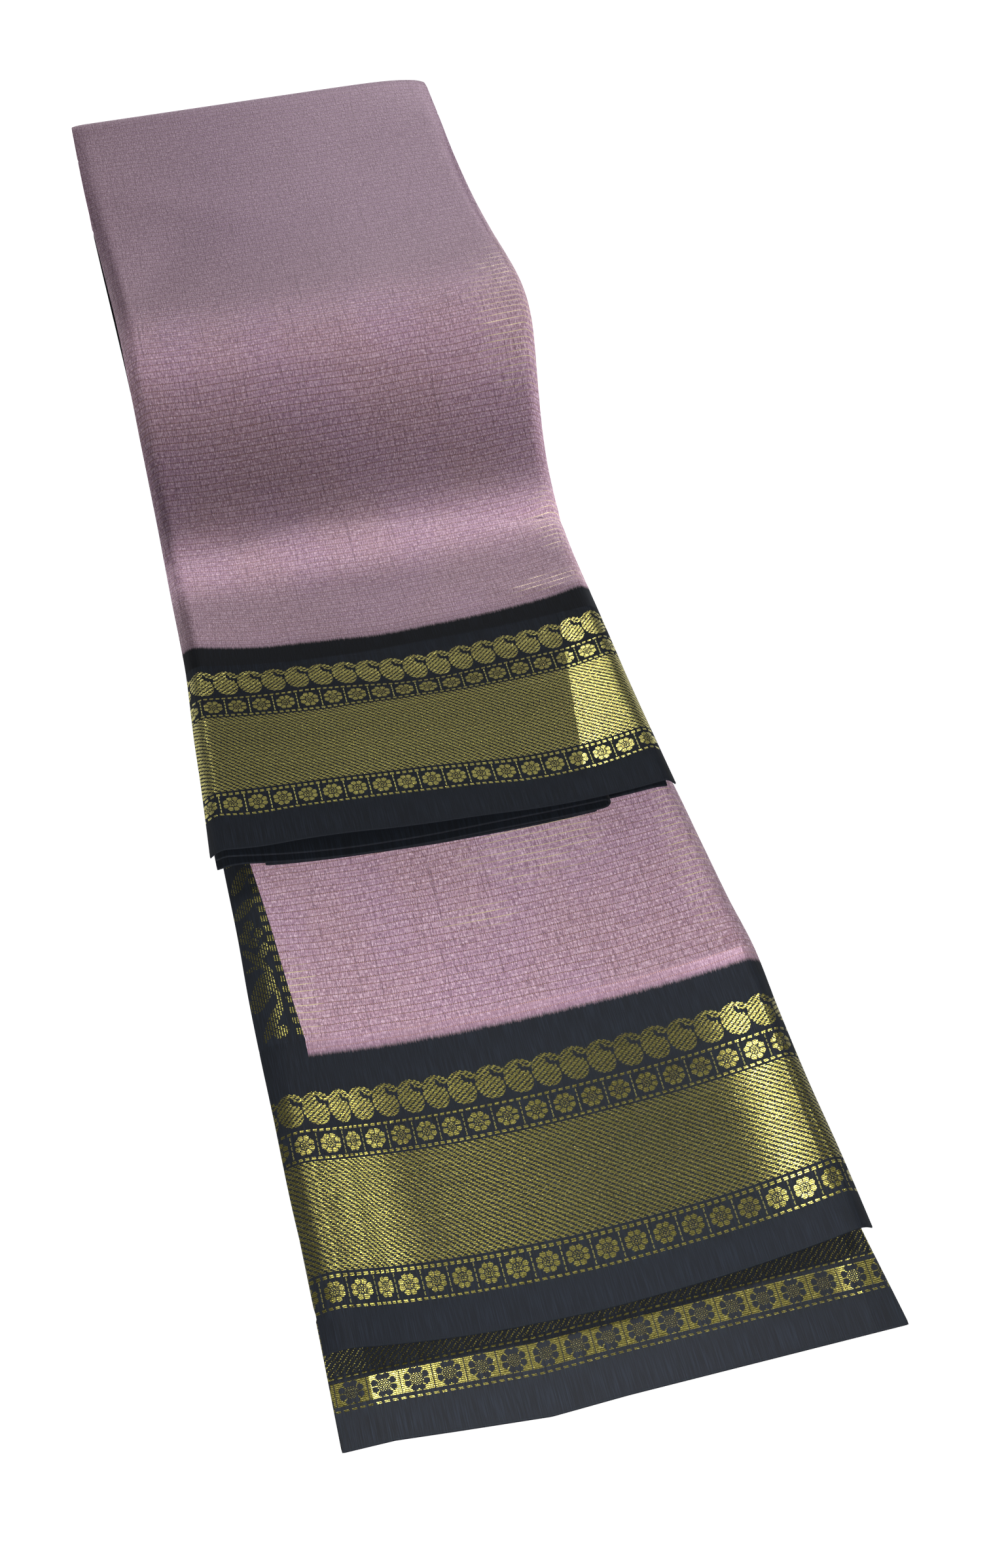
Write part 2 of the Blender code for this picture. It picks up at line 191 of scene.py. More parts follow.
class Draft:
    """A cloth material while it is drawn: it makes each term into nodes once."""

    def __init__(self, name: str) -> None:
        """Start an empty material with the cloth's coordinates."""
        self.material = bpy.data.materials.new(name)
        self.material.use_nodes = True
        self.tree = self.material.node_tree
        self.tree.nodes.clear()
        self.made: dict[int, tuple[Term, object]] = {}
        place = add_node(self.tree, "ShaderNodeUVMap", {"uv_map": "cloth"}, {})
        scaled = add_node(self.tree, "ShaderNodeVectorMath", {"operation": "SCALE", "Scale": 1.0 / MM},
                          {0: place.outputs[0]})
        split = add_node(self.tree, "ShaderNodeSeparateXYZ", {}, {0: scaled.outputs[0]})
        self.made[id(U)] = (U, split.outputs[0])
        self.made[id(V)] = (V, split.outputs[1])

    def value(self, term: "Term | float") -> object:
        """Number or socket of a term.

        Args:
            term: A formula or a plain number.

        Returns:
            The number, or the output socket of the nodes that work it out.
        """
        if not isinstance(term, Term):
            return float(term)
        if id(term) in self.made:
            return self.made[id(term)][1]
        if term.kind == "NOISE":
            across, along, seed, detail = term.parts
            where = self._with_inputs("ShaderNodeCombineXYZ", {}, (U * across, V * along, seed))
            node = add_node(self.tree, "ShaderNodeTexNoise", {"Scale": 1.0, "Detail": detail},
                            {"Vector": where.outputs[0]})
        elif term.kind == "RAMP":
            value, low, high = term.parts
            node = add_node(self.tree, "ShaderNodeMapRange", {1: low, 2: high}, {0: self.value(value)})
        else:
            node = self._with_inputs("ShaderNodeMath", {"operation": term.kind}, term.parts)
        self.made[id(term)] = (term, node.outputs[0])
        return node.outputs[0]

    def _with_inputs(self, kind: str, settings: dict, parts: tuple) -> bpy.types.Node:
        """Add a node whose inputs are terms or numbers, in their order."""
        values = [self.value(part) for part in parts]
        numbers = {i: value for i, value in enumerate(values) if isinstance(value, float)}
        links = {i: value for i, value in enumerate(values) if not isinstance(value, float)}
        return add_node(self.tree, kind, {**settings, **numbers}, links)

    def colour(self, base: str, layers: list[tuple[Term, str]]) -> object:
        """Colour socket of a base with other colours laid over it by masks.

        Args:
            base: Hex colour underneath.
            layers: Pairs of a mask and a hex colour, the lowest first.

        Returns:
            The output socket.
        """
        last = None
        for mask, code in layers:
            settings = {"data_type": "RGBA", MIX_OVER: linear(code)}
            links = {MIX_SHARE: self.value(mask)}
            if last is None:
                settings[MIX_UNDER] = linear(base)
            else:
                links[MIX_UNDER] = last
            last = add_node(self.tree, "ShaderNodeMix", settings, links).outputs[MIX_COLOUR]
        return last

    def finish(self, colour: object, metal: Term, rough: Term, height: Term, relief: float,
               sheen: Term, folds: Term) -> bpy.types.Material:
        """Join the pattern to the shader.

        Args:
            colour: Colour socket.
            metal: Mask of the metal threads.
            rough: Roughness.
            height: Thread height from 0 to 1.
            relief: Real height of 1, in millimetres.
            sheen: Weight of the silk's sheen.
            folds: Height of soft folds too shallow for the mesh, in millimetres.

        Returns:
            The finished material.
        """
        soft = add_node(self.tree, "ShaderNodeBump", {"Strength": 1.0, "Distance": MM},
                        {"Height": self.value(folds)})
        bump = add_node(self.tree, "ShaderNodeBump", {"Strength": 1.0, "Distance": relief * MM},
                        {"Height": self.value(height), "Normal": soft.outputs[0]})
        # Silk's own IOR is 1.55. It is raised to match the soft, slightly rosy shine of the lavender
        shader = add_node(
            self.tree, "ShaderNodeBsdfPrincipled",
            {"Sheen Roughness": 0.35, "IOR": 1.8, "Sheen Tint": linear("#f0cdd6")},
            {"Base Color": colour, "Metallic": self.value(metal), "Roughness": self.value(rough),
             "Sheen Weight": self.value(sheen), "Specular IOR Level": self.value(sheen * 3.0 + 0.1),
             "Specular Tint": self.colour("#ffffff", [(sheen * 6.0, "#f8c8e4")]),
             "Normal": bump.outputs[0]})
        add_node(self.tree, "ShaderNodeOutputMaterial", {}, {0: shader.outputs[0]})
        return self.material


# Distance between the fine gold lines of the body
LINE_PITCH = 2.92
# Width of one motif of the border
MOTIF = 9.6
# Gold threads lie about 0.2 mm apart. That is too fine to show, so they are drawn 0.32 mm
# apart, every motif is stepped by that much, and every second gap between them shows dark
THREAD = 0.32
ROW = Term("FLOOR", V / THREAD)
# The cloth's coordinates as the rows have them: stepped along, and a little uneven across
VQ = (ROW + 0.5) * THREAD
UQ = U + Term("SINE", ROW * 2.4) * 0.1
TURN = 2.0 * math.pi


def twill(across: float, along: float, cross_along: float, share: float) -> Term:
    """Mask of the small dark gaps between gold floats, in slanting lines.

    Args:
        across: Lines to a millimetre across.
        along: Lines to a millimetre along, negative where they run up to the right.
        cross_along: Gaps to a millimetre along, counted the other way.
        share: How far the wave has to rise before it counts as a gap.

    Returns:
        The mask.
    """
    lines = Term("COSINE", (UQ * across + VQ * along) * TURN)
    gaps = Term("COSINE", (UQ * (2.0 * across) - VQ * cross_along) * TURN)
    return ramp(lines * 0.64 + gaps * 0.36, share - 0.05, share + 0.05)


@dataclass(frozen=True)
class BrocadeBands:
    """Places of the woven bands of the border, as distances from its hem."""

    pitch: float = MOTIF
    near_row: float = 19.0
    far_row: float = 72.3
    rows_part: float = 45.0
    dash_reach: float = 5.3
    band_start: float = 25.9
    band_end: float = 66.0
    paisley_start: float = 79.5
    paisley_reach: float = 14.4
    paisley_shift: float = 1.9

    def flower(self, across: Term, along: Term) -> Term:
        """Mask of an eight-petalled flower with a ringed heart."""
        # The petals' formulas are for a flower 8 % larger
        x, y = across * 1.08, along * 1.08
        r = Term("SQRT", x * x + y * y)
        eighth = math.pi / 4.0
        turn = (Term("FRACT", Term("ARCTAN2", y, x) / eighth + 8.0) - 0.5) * eighth
        out, side = r * Term("COSINE", turn), abs(r * Term("SINE", turn))
        past = Term("MAXIMUM", out - 2.85, 0.0)
        petal = (out * 0.40 - side > 0.19) & (past * past + side * side < 1.5) & (out > 2.0)
        dots = Term("COSINE", x * (TURN / 1.04)) * Term("COSINE", y * (TURN / 1.28)) > -0.12
        heart = (r < 1.65) & ((r > 0.75) | (r < 0.35)) & dots
        return petal | heart

    def paisley(self, across: Term, along: Term) -> Term:
        """Mask of a round paisley whose tip bends over to the right and ends in a small lobe."""
        lean = ramp(along, 3.0, 7.4) * -1.1 + ramp(along, 8.0, 10.5) * 1.6 + 0.5
        a = repeat(across - lean, self.pitch) + lean
        body = ellipse(a, along, (0.05, 5.3), (5.5, 4.4), 120.0) < 1.0
        head = ellipse(a, along, (-0.3, 9.3), (4.3, 3.35), 30.0) < 1.0
        bay = ellipse(a, along, (3.6, 10.0), (2.9, 2.1), -15.0) < 1.0
        bridge = ellipse(a, along, (2.5, 11.75), (1.8, 0.85), -20.0) < 1.0
        lobe = ellipse(a, along, (3.75, 10.5), (2.0, 1.25), -10.0) < 1.0
        eye = ellipse(a, along, (3.7, 10.5), (0.62, 0.4)) < 1.0
        return ((body | head) & (1.0 - bay)) | bridge | (lobe & (1.0 - eye))

    def gold(self) -> tuple[Term, Term]:
        """Masks of the full gold of the border and of its thin gold uprights."""
        far = V > self.rows_part
        vf = VQ - self.near_row - far * (self.far_row - self.near_row)
        across = repeat(UQ, self.pitch)
        side = abs(vf)
        dashes = (abs(side - self.dash_reach) < 0.52) & (abs(repeat(UQ, self.pitch / 4.0)) < 0.72)
        edge = abs(abs(across) - self.pitch / 2.0)
        uprights = (edge < 0.16) & (side < 4.4) & (abs(repeat(vf, 1.8)) < 0.62)
        flower = self.flower(across, vf) & (side < 4.2)
        band = (VQ > self.band_start) & (VQ < self.band_end)
        band_gaps = twill(4.0 / self.pitch, 0.52, 0.953, 0.12)
        row = (VQ > self.paisley_start) & (VQ < self.paisley_start + self.paisley_reach)
        leaf = self.paisley(UQ + self.pitch / 2.0 - self.paisley_shift, VQ - self.paisley_start)
        leaf_gaps = twill(4.0 / self.pitch, -0.54, -0.953, 0.22)
        gold = dashes | flower | (band & (1.0 - band_gaps)) | (row & leaf & (1.0 - leaf_gaps))
        return gold, uprights & (1.0 - gold)


@dataclass(frozen=True)
class Glint:
    """A patch where the fine gold lines of the body get a painted highlight, as if they caught the light."""

    across: float
    along: float
    reach_across: float
    reach_along: float

    def spot(self) -> Term:
        """0 at the middle of the patch and 1 at its edge."""
        return ellipse(U, V, (self.across, self.along), (self.reach_across, self.reach_along))


@dataclass(frozen=True)
class SoftFold:
    """A gentle slope of the cloth across a stretch of its width."""

    start: float
    stop: float
    rise: float
    power: float = 1.0
    slant: float = 0.0

    def height(self) -> Term:
        """Height in millimetres, from nothing at start to the whole rise at stop."""
        place = U - V * self.slant
        return Term("POWER", ramp(place, self.start, self.stop), self.power) * self.rise


class Face(Enum):
    """Which stretch of the cloth a material shows."""

    BORDER = "border_silk_brocade"
    BODY = "checked_body_silk"
    PALLU = "pallu_silk"
    REVERSE = "brocade_wrong_side"
    SELVEDGE = "selvedge_silk"


@dataclass(frozen=True)
class SariSilk:
    """Handloom silk with metal-wrapped gold thread (zari), woven in one piece with its borders."""

    face: Face
    name: str
    glints: tuple[Glint, ...] = ()
    folds: tuple[SoftFold, ...] = ()
    # Left end of the lavender body, where the end piece takes over
    body_from: float = -1000.0
    # Real height of the weave, in millimetres
    relief: float = 0.10
    # Near black silk, dyed before weaving: fine upright ribs show as dull streaks
    navy: str = "#0a0e14"
    navy_rib: str = "#181e28"
    # Zari: silver-gilt strip wound on yellow silk, a soft greenish gold that varies thread by thread. Its
    # brightest tone is partly painted sparkle, and its glint colour is a painted highlight
    zari: str = "#958f49"
    zari_dull: str = "#60582b"
    zari_bright: str = "#d6cd7e"
    zari_painted_glint: str = "#efe0b0"
    between: str = "#1f1d12"
    # Lavender silk: rose warp and blue-grey weft, so its colour drifts between the two
    rose: str = "#b38e9b"
    lilac: str = "#a884a5"
    slub: str = "#dfc4d3"
    shade: str = "#634a5b"
    line: str = "#5c414e"
    bead: str = "#c39a7c"

    def material(self) -> bpy.types.Material:
        """Draw the material of this face.

        Returns:
            The finished material.
        """
        draft = Draft(self.name)
        if self.face is Face.PALLU:
            gold = self._pallu()
        elif self.face is Face.REVERSE:
            gold = self._reverse()
        elif self.face is Face.SELVEDGE:
            gold = NOTHING
        else:
            return self._woven(draft)
        return self._dark(draft, [], gold, NOTHING, 1.0 - NOTHING, NOTHING, NOTHING)

    def _dark(self, draft: Draft, under: list, gold: Term, thin: Term, dyed: Term, metal: Term,
              height: Term) -> bpy.types.Material:
        """Lay the near black ground and its gold over what is already drawn.

        Args:
            draft: The material being drawn.
            under: Layers underneath.
            gold: Mask of the full gold.
            thin: Mask of the thin gold threads.
            dyed: Mask of the near black ground.
            metal: Mask of the metal threads underneath.
            height: Thread height underneath.

        Returns:
            The finished material.
        """
        # Ribs 0.4 mm wide and 10 mm long, and glitter about as long as a float of gold thread.
        # Real ones are half as wide, too fine to show
        ribs = noise(2.6, 0.10, 3.0, 2.0)
        glitter = noise(1.3, 3.1, 53.0, 1.0)
        pulled = ramp(noise(0.035, 1.9, 57.0, 1.0), 0.60, 0.75)
        worn = ramp(glitter + pulled * 0.12, 0.40, 0.66)
        between = ramp(abs(repeat(V, 2.0 * THREAD)), 0.17, 0.07)
        layers = under + [
            (dyed, self.navy),
            (dyed & ramp(ribs, 0.42, 0.85), self.navy_rib),
            (thin * 0.55, self.zari),
            (gold, self.zari),
            (gold & worn * 0.9, self.zari_dull),
            # Partly painted sparkle: gold threads picked by noise are drawn brighter, besides the zari's own
            # tone varying thread by thread
            (gold & ramp(glitter, 0.58, 0.72) * 0.5, self.zari_bright),
            (gold & between * 0.9, self.between),
        ]
        every = (metal & (1.0 - dyed)) | (gold * 0.95) | (thin * 0.5)
        rough = dyed * 0.26 - every * 0.57 + (gold & worn) * 0.10 + 0.54
        raised = height * (1.0 - dyed) + dyed * ribs * 0.4 + gold * (glitter * 0.55 + 0.6 - between * 0.6)
        folds = NOTHING
        for fold in self.folds:
            folds = folds + fold.height()
        colour = draft.colour(self.rose, layers)
        return draft.finish(colour, every, rough, raised, self.relief, (1.0 - dyed) * 0.15, folds)

    def _woven(self, draft: Draft) -> bpy.types.Material:
        """Draw a face that shows the border, the lavender body or both."""
        # The weft runs along the strip. Its streaks are 0.6 x 7 mm, its thick and thin places
        # 0.4 x 1.6 mm, about twice as coarse as real ones, which are too fine to show
        streak = noise(1.6, 0.15, 7.0, 3.0)
        slub = noise(2.3, 0.62, 11.0, 2.0)
        nick = noise(2.1, 0.60, 13.0, 2.0)
        # The colour drifts over about 40 mm, and the uprights wander over their length
        drift = noise(0.030, 0.020, 17.0, 2.0)
        wide = noise(0.35, 0.02, 23.0, 2.0)
        fine = noise(3.1, 3.1, 29.0, 1.0)
        cloud = noise(0.8, 0.30, 43.0, 3.0)
        wander = noise(0.03, 0.05, 37.0, 1.0)
        # Fine gold lines: distance from the nearest one, its number, and the beads along it
        row = V + wander * 2.4 + fine * 0.14
        off = abs(repeat(row, LINE_PITCH))
        count = Term("FLOOR", row / LINE_PITCH + 0.5)
        beads = abs(repeat(U + count * 0.31, 0.78))
        line = off < 0.19
        # A darker thread half way between two lines, and broken uprights 1.9 mm apart
        middle = abs(repeat(row, LINE_PITCH / 2.0)) < 0.13
        upright = (abs(repeat(U + (wide - 0.5) * 4.0, 1.9)) < 0.13) & ramp(nick, 0.36, 0.56)
        # Painted highlight: in the glint patches the gold lines are drawn pale cream and a little metallic,
        # as if they caught the light
        shine = (off < 0.17) & (beads > 0.06) & self._glint()
        plain = 1.0 - shine
        # Painted sheen: beyond the slope, most of all at the right, the lavender is drawn more lilac,
        # standing in for the shot silk's change of colour with the angle of light and view
        painted_sheen_blue = ramp(V, 262.0, 345.0) & (ramp(U, -80.0, -20.0) * 0.5 + 0.5)
        layers = [
            (ramp(drift, 0.40, 0.60) * 0.5 | painted_sheen_blue, self.lilac),
            (ramp(drift, 0.55, 0.30) * 0.16, self.shade),
            (ramp(cloud, 0.50, 0.72) * 0.42, self.slub),
            (ramp(cloud, 0.50, 0.28) * 0.46, self.shade),
            (ramp(streak, 0.50, 0.76) * 0.50, self.slub),
            (ramp(streak, 0.50, 0.26) * 0.44, self.shade),
            (ramp(fine, 0.50, 0.32) * 0.34, self.shade),
            (ramp(slub, 0.50, 0.65) * 0.9, self.slub),
            (ramp(nick, 0.48, 0.30) * 0.72, self.shade),
            (middle & plain & 0.38, self.line),
            (upright * 0.58, self.line),
            (line & plain & 0.82, self.line),
            (line & (beads < 0.15) & plain & 0.75, self.bead),
            (shine * 0.85, self.zari_painted_glint),
        ]
        height = line * 0.4 + streak * 0.4 + slub * 0.9 - nick * 0.6 + fine * 0.3
        gold, thin = BrocadeBands().gold()
        # The two silks interlock over a few threads, so the edge between them is hairy
        hair = noise(3.0, 0.10, 31.0, 2.0)
        edge = V - BORDER_WIDTH + (hair - 0.5) * 3.0
        layers.append((ramp(edge, 7.0, 0.5) * 0.5, self.shade))
        dyed = ramp(edge, 1.0, -0.8) | (U < self.body_from)
        inside = V < BORDER_WIDTH - 5.0
        return self._dark(draft, layers, gold & inside, thin & inside, dyed, shine * 0.25, height)

    def _glint(self) -> Term:
        """Mask of the patches where the gold lines get a painted highlight."""
        best = NOTHING
        for glint in self.glints:
            best = best | (1.0 - glint.spot())
        ragged = noise(0.09, 0.34, 41.0, 2.0)
        return ramp(best * 0.8 + (ragged - 0.5) * 2.0, 0.05, 0.75) & ramp(best, 0.0, 0.12)

    def _pallu(self) -> Term:
        """Mask of the end piece's upright gold stitches, grouped in leaves and small blocks."""
        strokes = abs(repeat(U, STITCH)) < 0.19
        broken = abs(repeat(V + Term("FLOOR", U / STITCH + 0.5) * 0.8, 2.3)) < 0.92
        # Distance from the slanting inner edge of the strip
        inner = U + 73.9 + (V - 113.0) * 0.0845
        block = (abs(inner + 1.5) < 1.25) & (abs(repeat(V, 4.5)) < 1.4)
        leaves = NOTHING
        for leaf in PALLU_LEAVES:
            leaves = leaves | leaf.mask()
        return strokes & ((leaves & broken) | block) & (V > 114.6)

    def _reverse(self) -> Term:
        """Mask of the gold on the wrong side, where the flowers are left dark."""
        # The wrong side's row of boxes, a little wider than those on the right side as it lies
        pitch, row_at = 10.4, 18.4
        vr = VQ - row_at
        across = repeat(UQ, pitch)
        side = abs(vr)
        petals = BrocadeBands().flower(across * 0.9, vr * 0.92)
        r = ellipse(across, vr, (0.0, 0.0), (2.3, 2.1))
        dots = (Term("COSINE", U * (TURN / 0.84)) * Term("COSINE", V * (TURN / 0.84))) > 0.25
        ground = (side < 4.1) & (1.0 - petals) & (r > 1.0) & (abs(across) < pitch / 2.0 - 0.16)
        ground = ground & ((abs(across) > 1.7) | (side > 3.3))
        centre = (r < 1.0) & dots
        threads = abs(abs(side - 5.6) - 0.28) < 0.17
        dashes = threads & (abs(repeat(UQ, pitch / 4.0)) < 0.78)
        # The band behind shows as slanting lines of single stitches
        floats = Term("COSINE", (U * 0.4167 - V * 0.52) * TURN) > 0.15
        stitch = abs(repeat(U + Term("FLOOR", V / (2.0 * THREAD)) * 0.5, 1.0)) < 0.24
        strip = (V > 25.0) & floats & stitch
        return ground | centre | dashes | strip


@dataclass(frozen=True)
class Leaf:
    """An oval part of the end piece's flower scroll."""

    across: float
    along: float
    half_length: float
    half_width: float
    lean: float

    def mask(self) -> Term:
        """1 inside the oval."""
        return ellipse(U, V, (self.across, self.along), (self.half_length, self.half_width), self.lean) < 1.0


# Pitch of the end piece's upright stitches
STITCH = 0.87
# The scroll: leaves along a stem, a four-petalled flower and the leaf above it
PALLU_LEAVES = (
    Leaf(-82.0, 117.6, 2.9, 2.4, 40.0),
    Leaf(-84.0, 122.5, 8.6, 2.0, 60.0),
    Leaf(-86.0, 135.5, 8.2, 3.7, 66.0),
    Leaf(-80.9, 134.5, 8.5, 0.9, 96.0),
    Leaf(-87.3, 146.2, 3.0, 1.0, 5.0),
    Leaf(-85.3, 148.8, 8.2, 1.5, -57.0),
    Leaf(-82.6, 152.5, 3.6, 1.7, 70.0),
    Leaf(-88.2, 160.8, 2.2, 2.7, 0.0),
    Leaf(-85.9, 164.9, 2.1, 2.4, 0.0),
    Leaf(-83.0, 160.6, 1.6, 2.3, 0.0),
    Leaf(-85.4, 156.9, 1.9, 2.2, 0.0),
    Leaf(-86.4, 173.0, 5.0, 2.6, 38.0),
    Leaf(-86.0, 186.0, 6.0, 2.6, 60.0),
    Leaf(-87.0, 197.0, 4.0, 2.4, 30.0),
)


@dataclass(frozen=True)
class Crease:
    """A soft trough of the cloth between two points, or a ridge where its depth is negative."""

    start_x: float
    start_station: float
    end_x: float
    end_station: float
    depth: float
    width: float

    def height(self, x: np.ndarray, station: np.ndarray) -> np.ndarray:
        """Height that the crease adds at each point."""
        dx, ds = self.end_x - self.start_x, self.end_station - self.start_station
        length = math.hypot(dx, ds)
        along = ((x - self.start_x) * dx + (station - self.start_station) * ds) / length ** 2
        off = ((x - self.start_x) * ds - (station - self.start_station) * dx) / length
        fade = 0.5 + 0.5 * np.cos(np.clip(2.0 * along - 1.0, -1.3, 1.3) / 1.3 * math.pi)
        return -self.depth * fade * np.exp(-(off / self.width) ** 2)


FLAP_CREASES = (
    Crease(-112.0, 364.0, -30.0, 388.0, 1.6, 6.5),
    Crease(-50.0, 386.0, 72.0, 364.0, 0.8, 5.0),
    Crease(48.0, 364.0, 88.0, 358.0, 1.9, 4.2),
    Crease(-104.0, 378.0, -62.0, 380.0, -0.6, 5.0),
    Crease(30.0, 323.0, 86.0, 313.0, -0.45, 3.0),
    Crease(-60.0, 345.0, 30.0, 331.0, 0.35, 9.0),
    Crease(0.0, 420.0, 60.0, 500.0, 0.5, 11.0),
    Crease(-96.0, 470.0, -40.0, 560.0, 0.45, 13.0),
    Crease(-20.0, 560.0, 70.0, 600.0, 0.4, 15.0),
    Crease(-100.0, 590.0, -10.0, 545.0, -0.35, 12.0),
)
LOWER_CREASES = (
    Crease(-20.0, 150.0, 66.0, 222.0, 0.55, 11.0),
    Crease(-70.0, 148.0, -30.0, 236.0, 0.35, 9.0),
    Crease(10.0, 60.0, 70.0, 44.0, 0.25, 9.0),
    Crease(-60.0, 96.0, 20.0, 118.0, 0.25, 12.0),
)


@dataclass(frozen=True)
class Cut:
    """Cross-sections at several stations, one number of each kind for each station."""

    left: np.ndarray
    right: np.ndarray
    top: np.ndarray
    dish_left: np.ndarray
    dish_right: np.ndarray
    bow_left: np.ndarray
    bow_right: np.ndarray
    roll_left: float
    roll_right: float
    roll_drop: np.ndarray
    bow_power: np.ndarray

    def rise(self, x: np.ndarray) -> np.ndarray:
        """Height of the top at x over its height at mid width."""
        from_left = np.maximum(x - self.left, 0.0)
        from_right = np.maximum(self.right - x, 0.0)
        drop = self.roll_drop * (np.maximum(1.0 - from_left / self.roll_left, 0.0) ** 2
                            + np.maximum(1.0 - from_right / self.roll_right, 0.0) ** 2)
        dish_left = np.clip(1.0 - (from_left - self.roll_left) / DISH_REACH, 0.0, 1.0)
        dish_right = np.clip(1.0 - (from_right - self.roll_right) / DISH_REACH, 0.0, 1.0)
        return self.dish_left * dish_left ** 2 + self.dish_right * dish_right ** 2 - drop

    def bow(self, x: np.ndarray) -> np.ndarray:
        """How far the cloth at x runs on along the strip past its middle."""
        half = (self.right - self.left) / 2.0
        u = (x - (self.left + self.right) / 2.0) / half
        amount = np.where(u > 0.0, self.bow_right, self.bow_left)
        return amount * np.minimum(np.abs(u), 1.0) ** self.bow_power


# How far the top drops over a rolled edge, and how far in from it the top still rises
ROLL_DROP = 4.0
DISH_REACH = 50.0
# Where the edges and hems begin to even out towards the far fold, and how soon they have
EVEN_FROM, EVEN_RUN = 500.0, 110.0


def ease(t: np.ndarray) -> np.ndarray:
    """Smooth step from 0 to 1."""
    t = np.clip(t, 0.0, 1.0)
    return t * t * (3.0 - 2.0 * t)


class Table:
    """Rows of numbers at marks, smooth in between and level past the ends."""

    def __init__(self, rows: tuple[tuple[float, ...], ...]) -> None:
        """Keep the marks, from each row's first number, and the rest."""
        table = np.array(rows)
        self.marks, self.rows = table[:, 0], table[:, 1:]

    def values(self, mark: np.ndarray) -> np.ndarray:
        """Numbers at marks, one array for each column.

        Args:
            mark: Places between the rows, in any shape.

        Returns:
            An array whose first axis counts the columns.
        """
        s = np.clip(mark, self.marks[0], self.marks[-1])
        last = len(self.marks) - 1
        i = np.clip(np.searchsorted(self.marks, s, side="right") - 1, 0, last - 1)
        a, b = self.marks[i], self.marks[i + 1]
        before, after = np.maximum(i - 1, 0), np.minimum(i + 2, last)
        step = b - a
        t = ((s - a) / step)[..., None]
        p, q = self.rows[i], self.rows[i + 1]
        slope_a = (q - self.rows[before]) / (b - self.marks[before])[..., None]
        slope_b = (self.rows[after] - p) / (self.marks[after] - a)[..., None]
        h = t * t * (3.0 - 2.0 * t)
        bend = (t * (1.0 - t) ** 2 * slope_a + t * t * (t - 1.0) * slope_b) * step[..., None]
        return np.moveaxis(p + (q - p) * h + bend, -1, 0)


@dataclass(frozen=True)
class Profile:
    """Cross-sections of one half of the strip: station, left, right, top, dishes and bows."""

    table: Table
    roll_left: float
    roll_right: float

    def at(self, station: np.ndarray) -> Cut:
        """Cross-sections at stations."""
        even = ease((station - EVEN_FROM) / EVEN_RUN)
        drop = ROLL_DROP * (1.0 - 0.85 * even)
        power = 1.6 + 6.4 * even
        return Cut(*self.table.values(station), self.roll_left, self.roll_right, drop, power)


# station, left, right, top, dish left, dish right, bow left, bow right
FLAP = Profile(Table((
    (UPPER_HEM, -94.5, 77.5, 31.0, 4.0, 2.5, 7.0, -1.5),
    (236.0, -93.0, 76.4, 27.9, 4.0, 2.5, 7.0, -1.2),
    (LOWER_TUCK_END, -92.2, 75.8, 25.0, 4.0, 2.5, 6.8, -0.8),
    (275.0, -91.6, 75.8, 23.3, 3.8, 2.4, 6.7, -0.5),
    (UPPER_BORDER_END, -90.5, 75.8, 19.8, 3.4, 2.2, 6.3, 0.0),
    (324.0, -90.4, 75.9, 15.8, 2.8, 2.0, 4.8, 0.0),
    (346.0, -90.5, 76.1, 12.8, 2.2, 1.8, 3.2, 0.0),
    (362.0, -90.5, 76.6, 12.4, 1.8, 1.6, 2.2, 0.0),
    (378.0, -90.4, 77.6, 13.4, 1.6, 1.6, 1.4, 0.0),
    (393.0, -90.3, 79.0, 15.6, 1.6, 1.6, 0.8, 0.0),
    (408.0, -90.3, 80.9, 19.5, 1.6, 1.6, 0.4, 0.0),
    (420.0, -90.3, 82.7, 24.5, 1.6, 1.6, 0.2, 0.0),
    (431.0, -90.3, 84.4, 31.0, 1.6, 1.6, 0.0, 0.0),
    (441.0, -90.2, 85.8, 38.8, 1.6, 1.6, 0.0, 0.0),
    (450.0, -90.2, 86.8, 44.2, 1.6, 1.6, 0.0, 0.0),
    (461.0, -90.2, 87.4, 47.3, 1.5, 1.5, 0.0, 0.0),
    (474.0, -90.2, 87.3, 48.0, 1.5, 1.5, 0.0, 0.0),
    (492.0, -90.5, 86.0, 47.2, 1.5, 1.5, 0.0, -0.4),
    (515.0, -91.2, 84.0, 45.2, 1.4, 1.4, 0.0, -1.0),
    (545.0, -92.2, 81.9, 43.2, 1.2, 1.2, 0.0, -2.0),
    (580.0, -93.0, 80.6, 41.8, 1.1, 1.1, 0.0, -3.4),
    (FAR_FOLD_START, -93.2, 80.4, 41.1, 1.0, 1.0, 0.0, -4.6),
    (BEND_STATION, -93.2, 80.5, 41.0, 0.0, 0.0, 0.0, -5.0),
)), 6.0, 5.0)
LOWER = Profile(Table((
    (LOWER_HEM, -89.4, 92.8, 8.6, 5.0, 4.0, 6.5, 5.0),
    (52.0, -89.5, 91.8, 8.8, 4.8, 3.9, 5.9, 4.4),
    (80.0, -90.3, 90.2, 9.0, 4.6, 3.8, 5.1, 3.6),
    (110.0, -90.5, 89.3, 9.3, 4.3, 3.7, 4.3, 2.8),
    (LOWER_BORDER_END, -90.9, 89.0, 9.6, 4.0, 3.5, 3.5, 2.0),
    (160.0, -91.0, 86.6, 9.6, 3.8, 3.3, 2.8, 1.5),
    (187.0, -90.6, 84.6, 9.4, 3.4, 3.0, 2.0, 1.0),
    (221.0, -90.8, 82.2, 9.0, 2.4, 2.2, 1.0, 0.5),
    (240.0, -90.6, 79.2, 8.7, 1.0, 1.0, 0.4, 0.2),
    (LOWER_TUCK_END, -90.3, 77.2, 8.5, 0.0, 0.0, 0.0, 0.0),
    (362.0, -90.0, 76.6, 8.5, 0.0, 0.0, 0.0, 0.0),
    (474.0, -90.0, 80.0, 8.5, 0.0, 0.0, 0.0, 0.0),
    (BEND_STATION, -93.2, 80.5, 8.5, 0.0, 0.0, 0.0, -5.0),
)), 9.5, 6.0)
